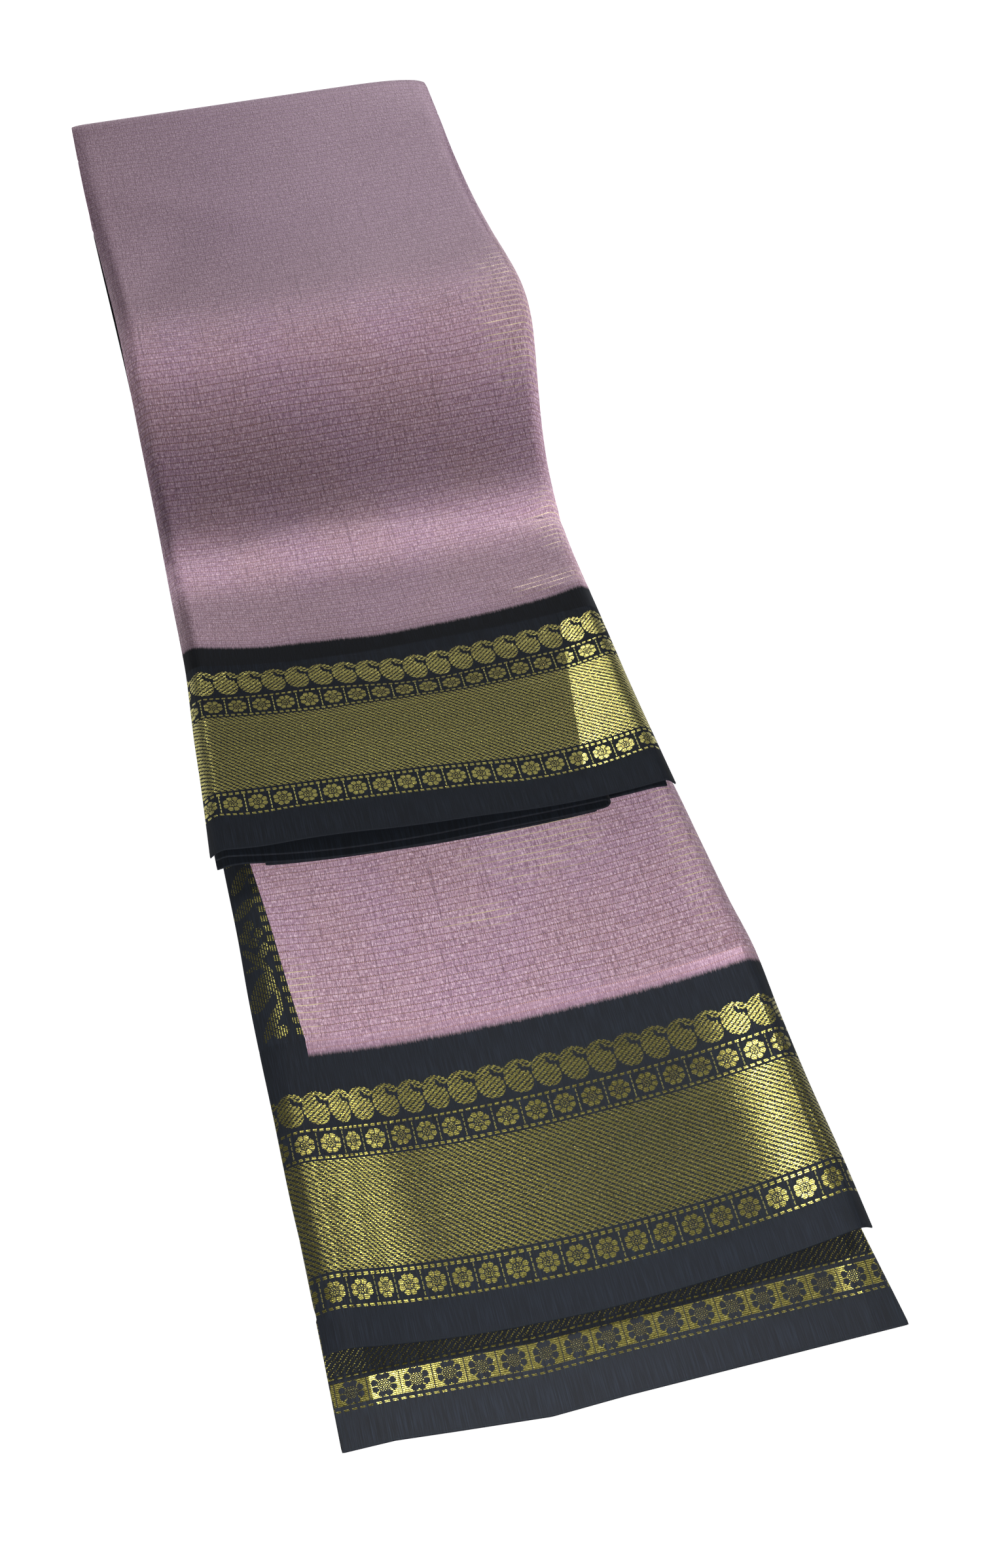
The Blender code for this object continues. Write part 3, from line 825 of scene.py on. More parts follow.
GROUND = Profile(Table((
    (0.0, -89.4, 94.5, 0.0, 0.0, 0.0, 0.0, 0.0),
    (HIDDEN_REVERSE, -89.4, 90.0, 0.0, 0.0, 0.0, 0.0, 0.0),
    (150.0, -90.2, 86.4, 0.0, 0.0, 0.0, 0.0, 0.0),
    (230.0, -90.2, 80.6, 0.0, 0.0, 0.0, 0.0, 0.0),
    (300.0, -90.0, 77.2, 0.0, 0.0, 0.0, 0.0, 0.0),
    (474.0, -90.0, 80.0, 0.0, 0.0, 0.0, 0.0, 0.0),
    (FAR_FOLD_START, -93.2, 80.4, 0.0, 0.0, 0.0, 0.0, -4.6),
    (BEND_STATION, -93.2, 80.5, 0.0, 0.0, 0.0, 0.0, -5.0),
)), 9.0, 9.0)
# Shape of the lowest hem: places across, and how far back it lies there
LOWEST_HEM = ((-90.0, -73.0, -53.0, -24.0, 1.0, 94.0), (2.5, 2.3, 0.3, -2.4, -1.8, -1.8))
# Lines of the upper border as they lie on the flap: place across, then the distance along the
# cloth's mean path of its hem and of the weave's marks
DRIFT_MARKS = (0.0, 13.1, 25.9, 66.0, 79.1, BORDER_WIDTH, 190.0)
DRIFT = Table((
    (-94.0, 0.3, 16.4, 26.8, 67.0, 79.0, 111.6, 190.0),
    (-77.0, 1.8, 17.0, 29.3, 68.0, 80.0, 110.0, 190.0),
    (-60.0, 4.2, 19.3, 31.0, 68.5, 81.0, 108.5, 190.0),
    (-44.0, 4.9, 20.0, 31.8, 68.6, 82.0, 108.6, 190.0),
    (-27.0, 4.0, 19.7, 31.3, 68.7, 80.3, 107.7, 190.0),
    (-10.0, 3.1, 18.3, 30.3, 68.0, 77.6, 106.4, 190.0),
    (6.0, 2.0, 16.7, 28.3, 66.8, 76.4, 106.7, 190.0),
    (23.0, 0.6, 14.3, 26.3, 66.3, 77.4, 107.0, 190.0),
    (39.0, 0.0, 13.7, 25.8, 66.2, 78.0, 107.7, 190.0),
    (56.0, 0.0, 14.7, 26.3, 66.4, 78.4, 108.8, 190.0),
    (74.0, 0.7, 17.2, 28.1, 68.9, 81.0, 111.4, 190.0),
    (82.0, 0.9, 17.4, 28.4, 69.2, 81.4, 112.0, 190.0),
))
# Uprights of the lower border: place across, and how many motifs from the left
LOWER_UPRIGHTS = ((-106.0, -86.5, -69.0, -62.8, -28.2, 1.8, 80.2, 100.0),
                  (-2.2, 0.0, 2.0, 3.0, 7.0, 10.0, 18.0, 20.1))

# Height where the lower half meets the upper half, by station
SPLIT_STATIONS = (LOWER_TUCK_END, 275.0, 324.0, 362.0, 408.0, 450.0, 515.0, 580.0, BEND_STATION)
SPLIT_HEIGHTS = (7.7, 7.4, 6.0, 5.6, 6.6, 9.6, 15.4, 19.2, BEND_RADIUS)

Silks = dict[str, bpy.types.Material]
Surface = Callable[[np.ndarray, np.ndarray], np.ndarray]
# Two arrays from places along and across: cloth coordinates, or the heights of two faces
Pair = Callable[[np.ndarray, np.ndarray], tuple[np.ndarray, np.ndarray]]


# A finished cloth, the solid that it replaces, its slot and its flat size in metres
Piece = tuple[bpy.types.Object, str, str, tuple[float, float]]


@dataclass
class ClothShell:
    """A thin closed shell of cloth on a grid of points, with rounded free edges."""

    name: str
    surface: Surface
    path: np.ndarray
    across: np.ndarray
    weave: Pair
    thickness: "float | Surface" = 0.75
    rim_steps: int = 1
    seam_near: bool = True
    seam_far: bool = True

    def build(self, *finish: bpy.types.Material) -> bpy.types.Object:
        """Make the mesh and its object.

        Args:
            finish: Material of the outer face, and that of the inner face where it differs.

        Returns:
            The new object, linked to the scene.
        """
        step_near, step_far = self.path[1] - self.path[0], self.path[-1] - self.path[-2]
        path = np.concatenate([[self.path[0] - step_near], self.path, [self.path[-1] + step_far]])
        wide = self.surface(path[:, None], self.across[None, :])
        along = np.gradient(wide, axis=0)[1:-1]
        points = wide[1:-1]
        sideways = np.gradient(points, axis=1)
        normal = unit(np.cross(sideways, along))
        thick = self.thickness
        if callable(thick):
            thick = thick(self.path[:, None], self.across[None, :])[..., None]
        inner = points - normal * thick
        n, m = points.shape[:2]
        u, v = self.weave(self.path[:, None], points[..., 0])
        u, v = np.broadcast_to(u, (n, m)), np.broadcast_to(v, (n, m))
        coords = [points.reshape(-1, 3), inner.reshape(-1, 3)]
        uvs = [np.stack([u, v], axis=-1).reshape(-1, 2)] * 2
        normals = [normal.reshape(-1, 3), -normal.reshape(-1, 3)]
        grid = np.arange(n * m).reshape(n, m)
        quads = np.stack([grid[:-1, :-1], grid[:-1, 1:], grid[1:, 1:], grid[1:, :-1]], axis=-1).reshape(-1, 4)
        faces = [quads, quads[:, ::-1] + n * m]
        ring = np.concatenate([grid[0, :-1], grid[:-1, -1], grid[-1, :0:-1], grid[:0:-1, 0]])
        outward = self._outward(sideways, along).reshape(-1, 3)[ring]
        middle = (coords[0][ring] + coords[1][ring]) / 2.0
        up = (coords[0][ring] - coords[1][ring]) / 2.0
        radius = np.linalg.norm(up, axis=1, keepdims=True)
        loops = [ring]
        total = 2 * n * m
        for k in range(1, self.rim_steps + 1):
            turn = math.pi * k / (self.rim_steps + 1)
            coords.append(middle + up * math.cos(turn) + outward * radius * math.sin(turn))
            normals.append(unit(up * math.cos(turn) / radius + outward * math.sin(turn) + 1e-9))
            uvs.append(uvs[0][ring])
            loops.append(total + np.arange(len(ring)))
            total += len(ring)
        loops.append(ring + n * m)
        for a, b in zip(loops, loops[1:]):
            faces.append(np.stack([a, b, np.roll(b, -1), np.roll(a, -1)], axis=-1))
        return self._object(coords, faces, uvs, normals, finish)

    def _outward(self, sideways: np.ndarray, along: np.ndarray) -> np.ndarray:
        """Directions out of the cloth's edge, none at an end that is sewn on or woven on."""
        out = np.zeros_like(sideways)
        out[:, 0] -= unit(sideways[:, 0])
        out[:, -1] += unit(sideways[:, -1])
        out[0] = 0.0 if self.seam_near else out[0] - unit(along[0])
        out[-1] = 0.0 if self.seam_far else out[-1] + unit(along[-1])
        size = np.linalg.norm(out, axis=-1, keepdims=True)
        return out / np.maximum(size, 1.0)

    def _object(self, coords: list, faces: list, uvs: list, normals: list,
                finish: tuple[bpy.types.Material, ...]) -> bpy.types.Object:
        """Make the object from lists of arrays: points, faces, cloth coordinates and normals."""
        points = np.concatenate(coords)
        points[:, 1] -= LENGTH / 2.0
        quads = np.concatenate(faces)
        mesh = bpy.data.meshes.new(self.name)
        mesh.from_pydata((points * MM).tolist(), [], quads.tolist())
        layer = mesh.uv_layers.new(name="cloth")
        corners = np.concatenate(uvs)[quads.ravel()] * MM
        layer.data.foreach_set("uv", corners.ravel())
        for material in finish:
            mesh.materials.append(material)
        if len(finish) > 1:
            index = np.zeros(len(quads), dtype=np.int32)
            index[len(faces[0]):len(faces[0]) + len(faces[1])] = 1
            mesh.polygons.foreach_set("material_index", index)
        mesh.shade_smooth()
        mesh.normals_split_custom_set_from_vertices(unit(np.concatenate(normals)).tolist())
        obj = bpy.data.objects.new(self.name, mesh)
        bpy.context.scene.collection.objects.link(obj)
        return obj


def plain_weave(path: np.ndarray, x: np.ndarray) -> tuple[np.ndarray, np.ndarray]:
    """Cloth coordinates of a layer that shows no motif."""
    return x, path + 0.0 * x


def unit(vectors: np.ndarray) -> np.ndarray:
    """Vectors at length 1."""
    return vectors / np.maximum(np.linalg.norm(vectors, axis=-1, keepdims=True), 1e-9)


def stations(start: float, stop: float, step: float) -> np.ndarray:
    """Even steps from start to stop, no longer than step."""
    return np.linspace(start, stop, max(2, math.ceil(abs(stop - start) / step) + 1))


def shares(width: float, step: float) -> np.ndarray:
    """Shares across the cloth, with closer columns over the rolled edges."""
    edge = np.array([0.0, 0.5, 1.1, 1.9, 2.9, 4.2, 5.8, 7.6, 9.6])
    middle = np.linspace(edge[-1], width - edge[-1], max(3, math.ceil((width - 2.0 * edge[-1]) / step)))
    return np.concatenate([edge[:-1], middle, width - edge[:-1][::-1]]) / width


def add_creases(creases: tuple[Crease, ...], x: np.ndarray, station: np.ndarray) -> np.ndarray:
    """Height that several creases add."""
    return sum(crease.height(x, station) for crease in creases)


def station_at(path: np.ndarray) -> np.ndarray:
    """Station under or over each point of the outermost path, level round the far fold."""
    below = np.where(path >= UNDER_START, PATH_END - path, BEND_STATION)
    return np.where(path <= BEND_STATION, path, below)


@dataclass
class OuterCloth:
    """The outermost cloth: from the upper hem over the flap, round the far fold and underneath."""

    step: float = 1.25
    border_step: float = 1.05
    fold_step: float = 1.6
    under_step: float = 4.0
    thickness: float = 0.75
    hem_thickness: float = 0.9
    # Share of the width where the length of the path is measured
    gauge: float = 0.75
    # Motifs lie 9.16 mm apart on the flap, so its cloth coordinate runs faster, from its own middle
    spread: float = 1.0475
    middle: float = 9.85

    def shaped(self, path: np.ndarray, x: np.ndarray) -> np.ndarray:
        """Path moved along where the upper hem lies further back."""
        fade = np.clip((UPPER_BORDER_END - path) / (UPPER_BORDER_END - UPPER_HEM), 0.0, 1.1)
        return path + DRIFT.values(x)[0] * fade

    def surface(self, path: np.ndarray, share: np.ndarray) -> np.ndarray:
        """Outer face at distances along the path and shares across."""
        path, share = np.broadcast_arrays(path, share)
        start = FLAP.at(np.minimum(path, BEND_STATION))
        path = self.shaped(path, start.left + (start.right - start.left) * share)
        below = path >= UNDER_START
        station = station_at(path)
        flap, ground = FLAP.at(station), GROUND.at(station)
        left, right = np.where(below, ground.left, flap.left), np.where(below, ground.right, flap.right)
        x = left + (right - left) * share
        hem = np.interp(x, *LOWEST_HEM) * np.clip((path - PATH_END) / HIDDEN_REVERSE + 1.0, 0.0, 1.2)
        bow = np.where(below, ground.bow(x) + hem, flap.bow(x))
        creased = add_creases(FLAP_CREASES, x, station) * (station < BEND_STATION - 8.0)
        high = flap.top + flap.rise(x) + creased
        turn = np.clip((path - BEND_STATION) / BEND_ARC, 0.0, 1.0) * math.pi
        reach = flap.top + flap.rise(x) - BEND_RADIUS
        radius = BEND_RADIUS + (reach - BEND_RADIUS) * (1.0 + np.cos(turn)) / 2.0
        round_y = BEND_STATION + radius * np.sin(turn)
        round_z = BEND_RADIUS + radius * np.cos(turn)
        turning = (path > BEND_STATION) & ~below
        y = np.where(turning, round_y, station) + bow
        z = np.where(turning, round_z, np.where(below, 0.0, high))
        return np.stack([x, y, z], axis=-1)

    def build(self, silk: Silks) -> list[Piece]:
        """Make the five stretches of the outer cloth.

        Args:
            silk: Materials by name.

        Returns:
            The pieces.
        """
        pieces = []
        # Node, start, stop and step along, mean width and step across, materials and slot
        for node, start, stop, step, width, step_across, finish, slot in (
            ("upper_border", UPPER_HEM, UPPER_BORDER_END, self.border_step, 170.0, self.border_step,
             ("upper_border",), "border_cloth"),
            ("upper_body", UPPER_BORDER_END, FAR_FOLD_START, self.step, 170.0, self.step,
             ("flap_body",), "lavender_cloth"),
            ("far_fold", FAR_FOLD_START, PATH_END - FAR_FOLD_START, self.fold_step, 170.0, self.fold_step,
             ("flap_body",), "lavender_cloth"),
            ("underside", PATH_END - FAR_FOLD_START, PATH_END - HIDDEN_REVERSE, self.under_step, 170.0,
             self.under_step, ("border",), "lavender_cloth"),
            ("lowest_border", PATH_END - HIDDEN_REVERSE, PATH_END, 1.1, 180.0, 1.3,
             ("border", "reverse"), "reverse_cloth"),
        ):
            last = node == "lowest_border"
            shell = ClothShell(
                node + "_cloth", self.surface, stations(start, stop, step), shares(width, step_across),
                self.weave if start < UNDER_START else self.weave_below,
                self.hem_thickness if last else self.thickness,
                seam_near=node != "upper_border", seam_far=not last)
            wide = 172.0 if node == "underside" else width
            cloth = shell.build(*(silk[name] for name in finish))
            pieces.append((cloth, node, slot, (wide * MM, (stop - start) * MM)))
        return pieces

    def weave(self, path: np.ndarray, x: np.ndarray) -> tuple[np.ndarray, np.ndarray]:
        """Cloth coordinates from the upper hem, with the weave's own wander."""
        margin = 5.0
        fine = stations(UPPER_HEM - margin, PATH_END, 1.0)
        bare = self.surface(fine, np.full_like(fine, self.gauge))
        steps = np.linalg.norm(np.diff(bare, axis=0), axis=1)
        length = np.concatenate([[0.0], np.cumsum(steps)]) - margin
        v = np.interp(self.shaped(path, x), fine, length)
        places = DRIFT.values(x)
        woven = np.minimum(v - places[0], 0.0) + np.maximum(v - places[-1], 0.0)
        for k in range(len(DRIFT_MARKS) - 1):
            step = DRIFT_MARKS[k + 1] - DRIFT_MARKS[k]
            woven = woven + step * np.clip((v - places[k]) / (places[k + 1] - places[k]), 0.0, 1.0)
        return x * self.spread + self.middle, woven

    def weave_below(self, path: np.ndarray, x: np.ndarray) -> tuple[np.ndarray, np.ndarray]:
        """Cloth coordinates from the lowest hem."""
        return x, PATH_END - path + 0.0 * x


@dataclass
class LowerCloth:
    """The cloth on top of the lower half: border, end piece strip and lavender body."""

    pallu_near: float = 16.4
    pallu_far: float = 6.2
    step: float = 1.25
    border_step: float = 1.05

    def surface(self, path: np.ndarray, x_of: Callable[[Cut, np.ndarray], np.ndarray]) -> np.ndarray:
        """Top face at stations and at places across that a function picks."""
        cut = LOWER.at(path)
        x = x_of(cut, path)
        station, x = np.broadcast_arrays(path, x)
        z = cut.top + cut.rise(x) + add_creases(LOWER_CREASES, x, station)
        return np.stack([x, station + cut.bow(x), z], axis=-1)

    def inner(self, cut: Cut, station: np.ndarray) -> np.ndarray:
        """Place of the slanting edge between the end piece strip and the body."""
        share = (station - LOWER_BORDER_END) / (LOWER_TUCK_END - LOWER_BORDER_END)
        return cut.left + self.pallu_near + (self.pallu_far - self.pallu_near) * share

    def build(self, silk: Silks) -> list[Piece]:
        """Make the three stretches of the lower cloth.

        Args:
            silk: Materials by name.

        Returns:
            The pieces.
        """
        def between(left: Callable[..., np.ndarray], right: Callable[..., np.ndarray]) -> Surface:
            """Surface from one line along the cloth to another."""
            return lambda path, share: self.surface(
                path, lambda cut, s: left(cut, s) + (right(cut, s) - left(cut, s)) * share)

        def left(cut: Cut, station: np.ndarray) -> np.ndarray:
            """Left edge."""
            return cut.left

        def right(cut: Cut, station: np.ndarray) -> np.ndarray:
            """Right edge."""
            return cut.right

        def weave(path: np.ndarray, x: np.ndarray) -> tuple[np.ndarray, np.ndarray]:
            """Cloth coordinates by the border's own uprights, 0 at 8.5 motifs from the left."""
            return (np.interp(x, *LOWER_UPRIGHTS) - 8.5) * MOTIF, path - LOWER_HEM + 0.0 * x

        def straight(path: np.ndarray, x: np.ndarray) -> tuple[np.ndarray, np.ndarray]:
            """Cloth coordinates as the cloth lies."""
            return x, path - LOWER_HEM + 0.0 * x

        ends = (LOWER_BORDER_END, LOWER_TUCK_END)
        strip = np.array([0.0, 0.6, 1.4, 2.4, 3.6, 5.0, 7.0, 9.5, 12.0, 14.5, 17.0]) / 17.0
        panel = np.concatenate([[0.0], shares(162.0, self.step)[8:]])
        pieces = []
        # Node, start, stop, step, columns, surface, weave, material, slot and mean width
        for node, start, stop, step, across, surface, threads, finish, slot, width in (
            ("lower_border", LOWER_HEM, LOWER_BORDER_END, self.border_step, shares(182.0, self.border_step),
             between(left, right), weave, "border", "border_cloth", 182.0),
            ("lower_pallu", *ends, self.step, strip, between(left, self.inner), straight,
             "pallu", "pallu_cloth", 13.5),
            ("lower_body", *ends, self.step, panel, between(self.inner, right), weave,
             "lower_body", "lavender_cloth", 162.0),
        ):
            shell = ClothShell(node + "_cloth", surface, stations(start, stop, step), across, threads,
                               seam_near=node != "lower_border")
            pieces.append((shell.build(silk[finish]), node, slot, (width * MM, (stop - start) * MM)))
        return pieces


@dataclass
class HemLeaves:
    """The layers whose edges show under the two hems."""

    upper_end: float = 235.6
    lower_end: float = 60.0
    loop_setback: float = 1.0
    loop_left: float = -92.4
    loop_right: float = 53.0
    loop_levels: tuple[float, float] = (0.86, 0.56)
    # How far along the loop's way its lower layer starts and ends, where its upper one takes 1
    loop_back: float = 1.2
    loop_whole: float = 2.2

    def layer(self, profile: Profile, left: float, right: float, space: Pair, level: float) -> Surface:
        """Top face of one layer.

        Args:
            profile: Sections of the cloth above.
            left: Left edge.
            right: Right edge.
            space: Heights of the cloth below and of the cloth above.
            level: Share of the way up between them.

        Returns:
            The surface.
        """
        def surface(path: np.ndarray, share: np.ndarray) -> np.ndarray:
            """Points at stations and shares across."""
            path, share = np.broadcast_arrays(path, share)
            x = left + (right - left) * share
            low, high = space(path, x)
            wander = 0.5 * np.sin(x / 17.0 + level * 9.0)
            y = path + profile.at(path).bow(x) + wander
            return np.stack([x, y, low + (high - low) * level], axis=-1)
        return surface

    def upper_space(self, station: np.ndarray, x: np.ndarray) -> tuple[np.ndarray, np.ndarray]:
        """Heights of the cloth below and of the cloth above, under the upper hem."""
        low, high = LOWER.at(station), FLAP.at(station)
        return low.top + low.rise(x) + 0.35, high.top + high.rise(x) - WALL

    def lower_space(self, station: np.ndarray, x: np.ndarray) -> tuple[np.ndarray, np.ndarray]:
        """Heights of the cloth below and of the cloth above, under the lower hem."""
        high = LOWER.at(station)
        return np.full_like(x, WALL), high.top + high.rise(x) - WALL

    def build(self, silk: Silks) -> list[Piece]:
        """Make the five layers.

        Args:
            silk: Materials by name.

        Returns:
            The pieces.
        """
        upper = (FLAP, self.upper_space, UPPER_HEM, self.upper_end)
        lower = (LOWER, self.lower_space, LOWER_HEM, self.lower_end)
        pieces = []
        # Node, left, right, how far back from the hem it ends, level and hem
        for node, left, right, setback, level, (profile, space, hem, end) in (
            ("under_hem_third", -75.0, 48.0, 3.0, 0.42, upper),
            ("under_hem_fourth", -90.0, 78.0, 11.0, 0.20, upper),
            ("lower_hem_second", -88.4, 91.4, 2.5, 0.80, lower),
            ("lower_hem_third", -87.0, 90.0, 5.0, 0.42, lower),
        ):
            surface = self.layer(profile, left, right, space, level)
            pieces.append(self._leaf(silk, node, surface, hem + setback, end, shares(right - left, 2.0),
                                     1.1, right - left))
        back, whole = self.loop_back, self.loop_whole
        across = np.concatenate([np.linspace(0.0, 1.0, 70), np.linspace(1.02, back - 0.02, 9),
                                 np.linspace(back, whole, 70)]) / whole
        pieces.append(self._leaf(silk, "under_hem_loop", self.loop, UPPER_HEM + self.loop_setback,
                                 self.upper_end, across, 0.9, 2.0 * (self.loop_right - self.loop_left)))
        return pieces

    def _leaf(self, silk: Silks, node: str, surface: Surface, start: float, end: float, across: np.ndarray,
              thickness: float, width: float) -> Piece:
        """One layer from its visible edge to where it ends inside."""
        shell = ClothShell(node + "_cloth", surface, stations(start, end, 1.6), across, plain_weave,
                           thickness, 3, False, False)
        return shell.build(silk["selvedge"]), node, "layered_cloth", (width * MM, (end - start) * MM)

    def loop(self, path: np.ndarray, share: np.ndarray) -> np.ndarray:
        """Outer face of the pair of layers that ends in a rounded fold at the right.

        Args:
            path: Stations.
            share: Shares of the way: over the top layer, a tenth of that round, and back below.

        Returns:
            Points.
        """
        path, share = np.broadcast_arrays(path, share)
        left, right = self.loop_left, self.loop_right
        top_level, low_level = self.loop_levels
        ends = self.upper_space(path, np.full(path.shape, right))
        radius = (ends[1] - ends[0]) * (top_level - low_level) / 2.0
        centre = ends[0] + (ends[1] - ends[0]) * (top_level + low_level) / 2.0
        turn_x = right - radius
        run = share * self.loop_whole
        turn = np.clip((run - 1.0) / 0.2, 0.0, 1.0) * math.pi
        x_top = left + (turn_x - left) * np.clip(run, 0.0, 1.0)
        x_low = turn_x - (turn_x - left) * np.clip(run - self.loop_back, 0.0, 1.0)
        turning = (run > 1.0) & (run < self.loop_back)
        x = np.where(turning, turn_x + radius * np.sin(turn), np.where(run <= 1.0, x_top, x_low))
        low, high = self.upper_space(path, x)
        level = np.where(run <= 1.0, top_level, low_level)
        z = np.where(turning, centre + radius * np.cos(turn), low + (high - low) * level)
        return np.stack([x, path + FLAP.at(path).bow(x), z], axis=-1)


@dataclass
class InnerLayers:
    """The hidden layers: nested sheets that run from hem to hem round the far fold."""

    count: int = 12
    start: float = 236.0
    stop: float = 60.5
    gap: float = 1.9
    width: float = 168.0
    # Share of its place in the pile that a sheet fills with cloth
    fill: float = 0.62

    def bounds(self, path: np.ndarray, x: np.ndarray) -> tuple[np.ndarray, np.ndarray]:
        """Heights of the outermost and innermost faces, along the path."""
        below = path >= UNDER_START
        station = station_at(path)
        split = np.interp(station, SPLIT_STATIONS, SPLIT_HEIGHTS)
        tucked = ease((station - 250.0) / 30.0)
        cut, flap = LOWER.at(station), FLAP.at(station)
        lower_top = cut.top + cut.rise(x)
        outer = np.where(below, self.gap, flap.top + flap.rise(x) - self.gap)
        inner_up = (lower_top + 0.8) * (1.0 - tucked) + (split + 0.25) * tucked
        inner_down = (lower_top - self.gap) * (1.0 - tucked) + (split - 0.25) * tucked
        return outer, np.where(below, inner_down, inner_up)

    def sheet(self, k: int) -> tuple[Surface, Surface]:
        """Outer face and thickness of one nested sheet, counted inwards."""
        share_in = (k + 0.12) / self.count

        def inset(path: np.ndarray, side: float) -> np.ndarray:
            """How far inside the outermost cloth the sheet's edge lies: unevenly, by 2 to 7 mm."""
            wander = np.sin(path / 61.0 + k * 2.3 + side) + 0.6 * np.sin(path / 23.0 + k * 5.1 + 2.0 * side)
            return 4.6 + 1.1 * wander + 0.9 * math.sin(k * 1.9 + side)

        def surface(path: np.ndarray, share: np.ndarray) -> np.ndarray:
            """Points at distances along the path and shares across."""
            path, share = np.broadcast_arrays(path, share)
            below = path >= UNDER_START
            station = station_at(path)
            cut, flap = LOWER.at(station), FLAP.at(station)
            left = np.where(below, cut.left, flap.left) + inset(path, 0.0)
            right = np.where(below, cut.right, flap.right) - inset(path, 4.0)
            x = left + (right - left) * share
            outer, inner = self.bounds(path, x)
            flat_z = outer + (inner - outer) * share_in
            turn = np.clip((path - BEND_STATION) / BEND_ARC, 0.0, 1.0) * math.pi
            top_r = (2.0 * BEND_RADIUS + np.minimum(flap.rise(x), 0.0) - self.gap - BEND_RADIUS) \
                * (1.0 - share_in) + 0.4
            low_r = (BEND_RADIUS - self.gap) * (1.0 - share_in) + 0.4
            radius = low_r + (top_r - low_r) * (1.0 + np.cos(turn)) / 2.0
            turning = (path > BEND_STATION) & ~below
            y = np.where(turning, BEND_STATION + radius * np.sin(turn), station) + flap.bow(x) * ~below \
                + np.where(below, cut.bow(x), 0.0)
            z = np.where(turning, BEND_RADIUS + radius * np.cos(turn), flat_z)
            return np.stack([x, y, z], axis=-1)

        def thickness(path: np.ndarray, share: np.ndarray) -> np.ndarray:
            """Thickness that leaves a gap to the next sheet."""
            path, share = np.broadcast_arrays(path, share)
            x = -85.0 + 165.0 * share
            outer, inner = self.bounds(path, x)
            return np.clip(self.fill * np.abs(outer - inner) / self.count, 0.25, 1.9)

        return surface, thickness

    def build(self, silk: Silks) -> list[Piece]:
        """Make the nested sheets.

        Args:
            silk: Materials by name.

        Returns:
            The pieces.
        """
        columns = (0.0, 0.6, 1.6, 3.4, 8.0, 30.0, 84.0, 138.0, 160.0, 164.6, 166.4, 167.4, self.width)
        across = np.array(columns) / self.width
        path = np.concatenate([stations(self.start, BEND_STATION, 7.0)[:-1],
                               stations(BEND_STATION, UNDER_START, 6.0)[:-1],
                               stations(UNDER_START, PATH_END - self.stop, 9.0)])
        # A sheet half way in takes a shorter way round the far fold
        length = (path[-1] - path[0]) * 0.97

        def weave(path: np.ndarray, x: np.ndarray) -> tuple[np.ndarray, np.ndarray]:
            """Cloth coordinates from the nearer hem."""
            return x, np.minimum(path - UPPER_HEM, PATH_END - path - LOWER_HEM) + 0.0 * x

        pieces = []
        for k in range(self.count):
            surface, thickness = self.sheet(k)
            shell = ClothShell(f"inner_layer_{k + 1:02d}", surface, path, across, weave, thickness, 3,
                               False, False)
            node = "upper_layers" if k % 2 == 0 else "lower_layers"
            pieces.append((shell.build(silk["inner"]), node, "layered_cloth", (self.width * MM, length * MM)))
        return pieces


Point = tuple[float, float, float]


@dataclass(frozen=True)
class Lamp:
    """A soft rectangular light. Places are in metres, power in watts and spread in degrees."""

    name: str
    at: Point
    aim: Point
    size: tuple[float, float]
    power: float
    reaches: tuple[str, ...] = ()
    blocked_by: tuple[str, ...] = ()
    spread: float = 180.0

    def hang(self) -> None:
        """Add the light, and hold it to the cloths of the nodes that it reaches."""
        data = bpy.data.lights.new(self.name, "AREA")
        data.shape = "RECTANGLE"
        data.size, data.size_y = self.size
        data.energy = self.power
        data.spread = math.radians(self.spread)
        obj = bpy.data.objects.new(self.name, data)
        bpy.context.scene.collection.objects.link(obj)
        turn_to(obj, self.at, Vector(self.aim) - Vector(self.at))
        if self.blocked_by:
            obj.light_linking.blocker_collection = self._group("blockers", self.blocked_by)
        if self.reaches:
            obj.light_linking.receiver_collection = self._group("receivers", self.reaches)

    def _group(self, use: str, nodes: tuple[str, ...]) -> bpy.types.Collection:
        """Collect the cloths of some nodes."""
        found = bpy.data.collections.new(f"{self.name}_{use}")
        for node in nodes:
            found.objects.link(bpy.data.objects[node + "_cloth"])
        return found


def turn_to(obj: bpy.types.Object, at: Point, look: Vector) -> None:
    """Put a light or a camera at a place, looking along a vector."""
    obj.location = at
    obj.rotation_mode = "QUATERNION"
    obj.rotation_quaternion = look.to_track_quat("-Z", "Y")


def band_strip(name: str, node: str, at: Point, aim: Point, power: float) -> Lamp:
    """Narrow light for the gold of one band, where the photograph's own light catches it."""
    return Lamp(name, at, aim, (0.22, 0.18), power, (node,), (), 10.0)


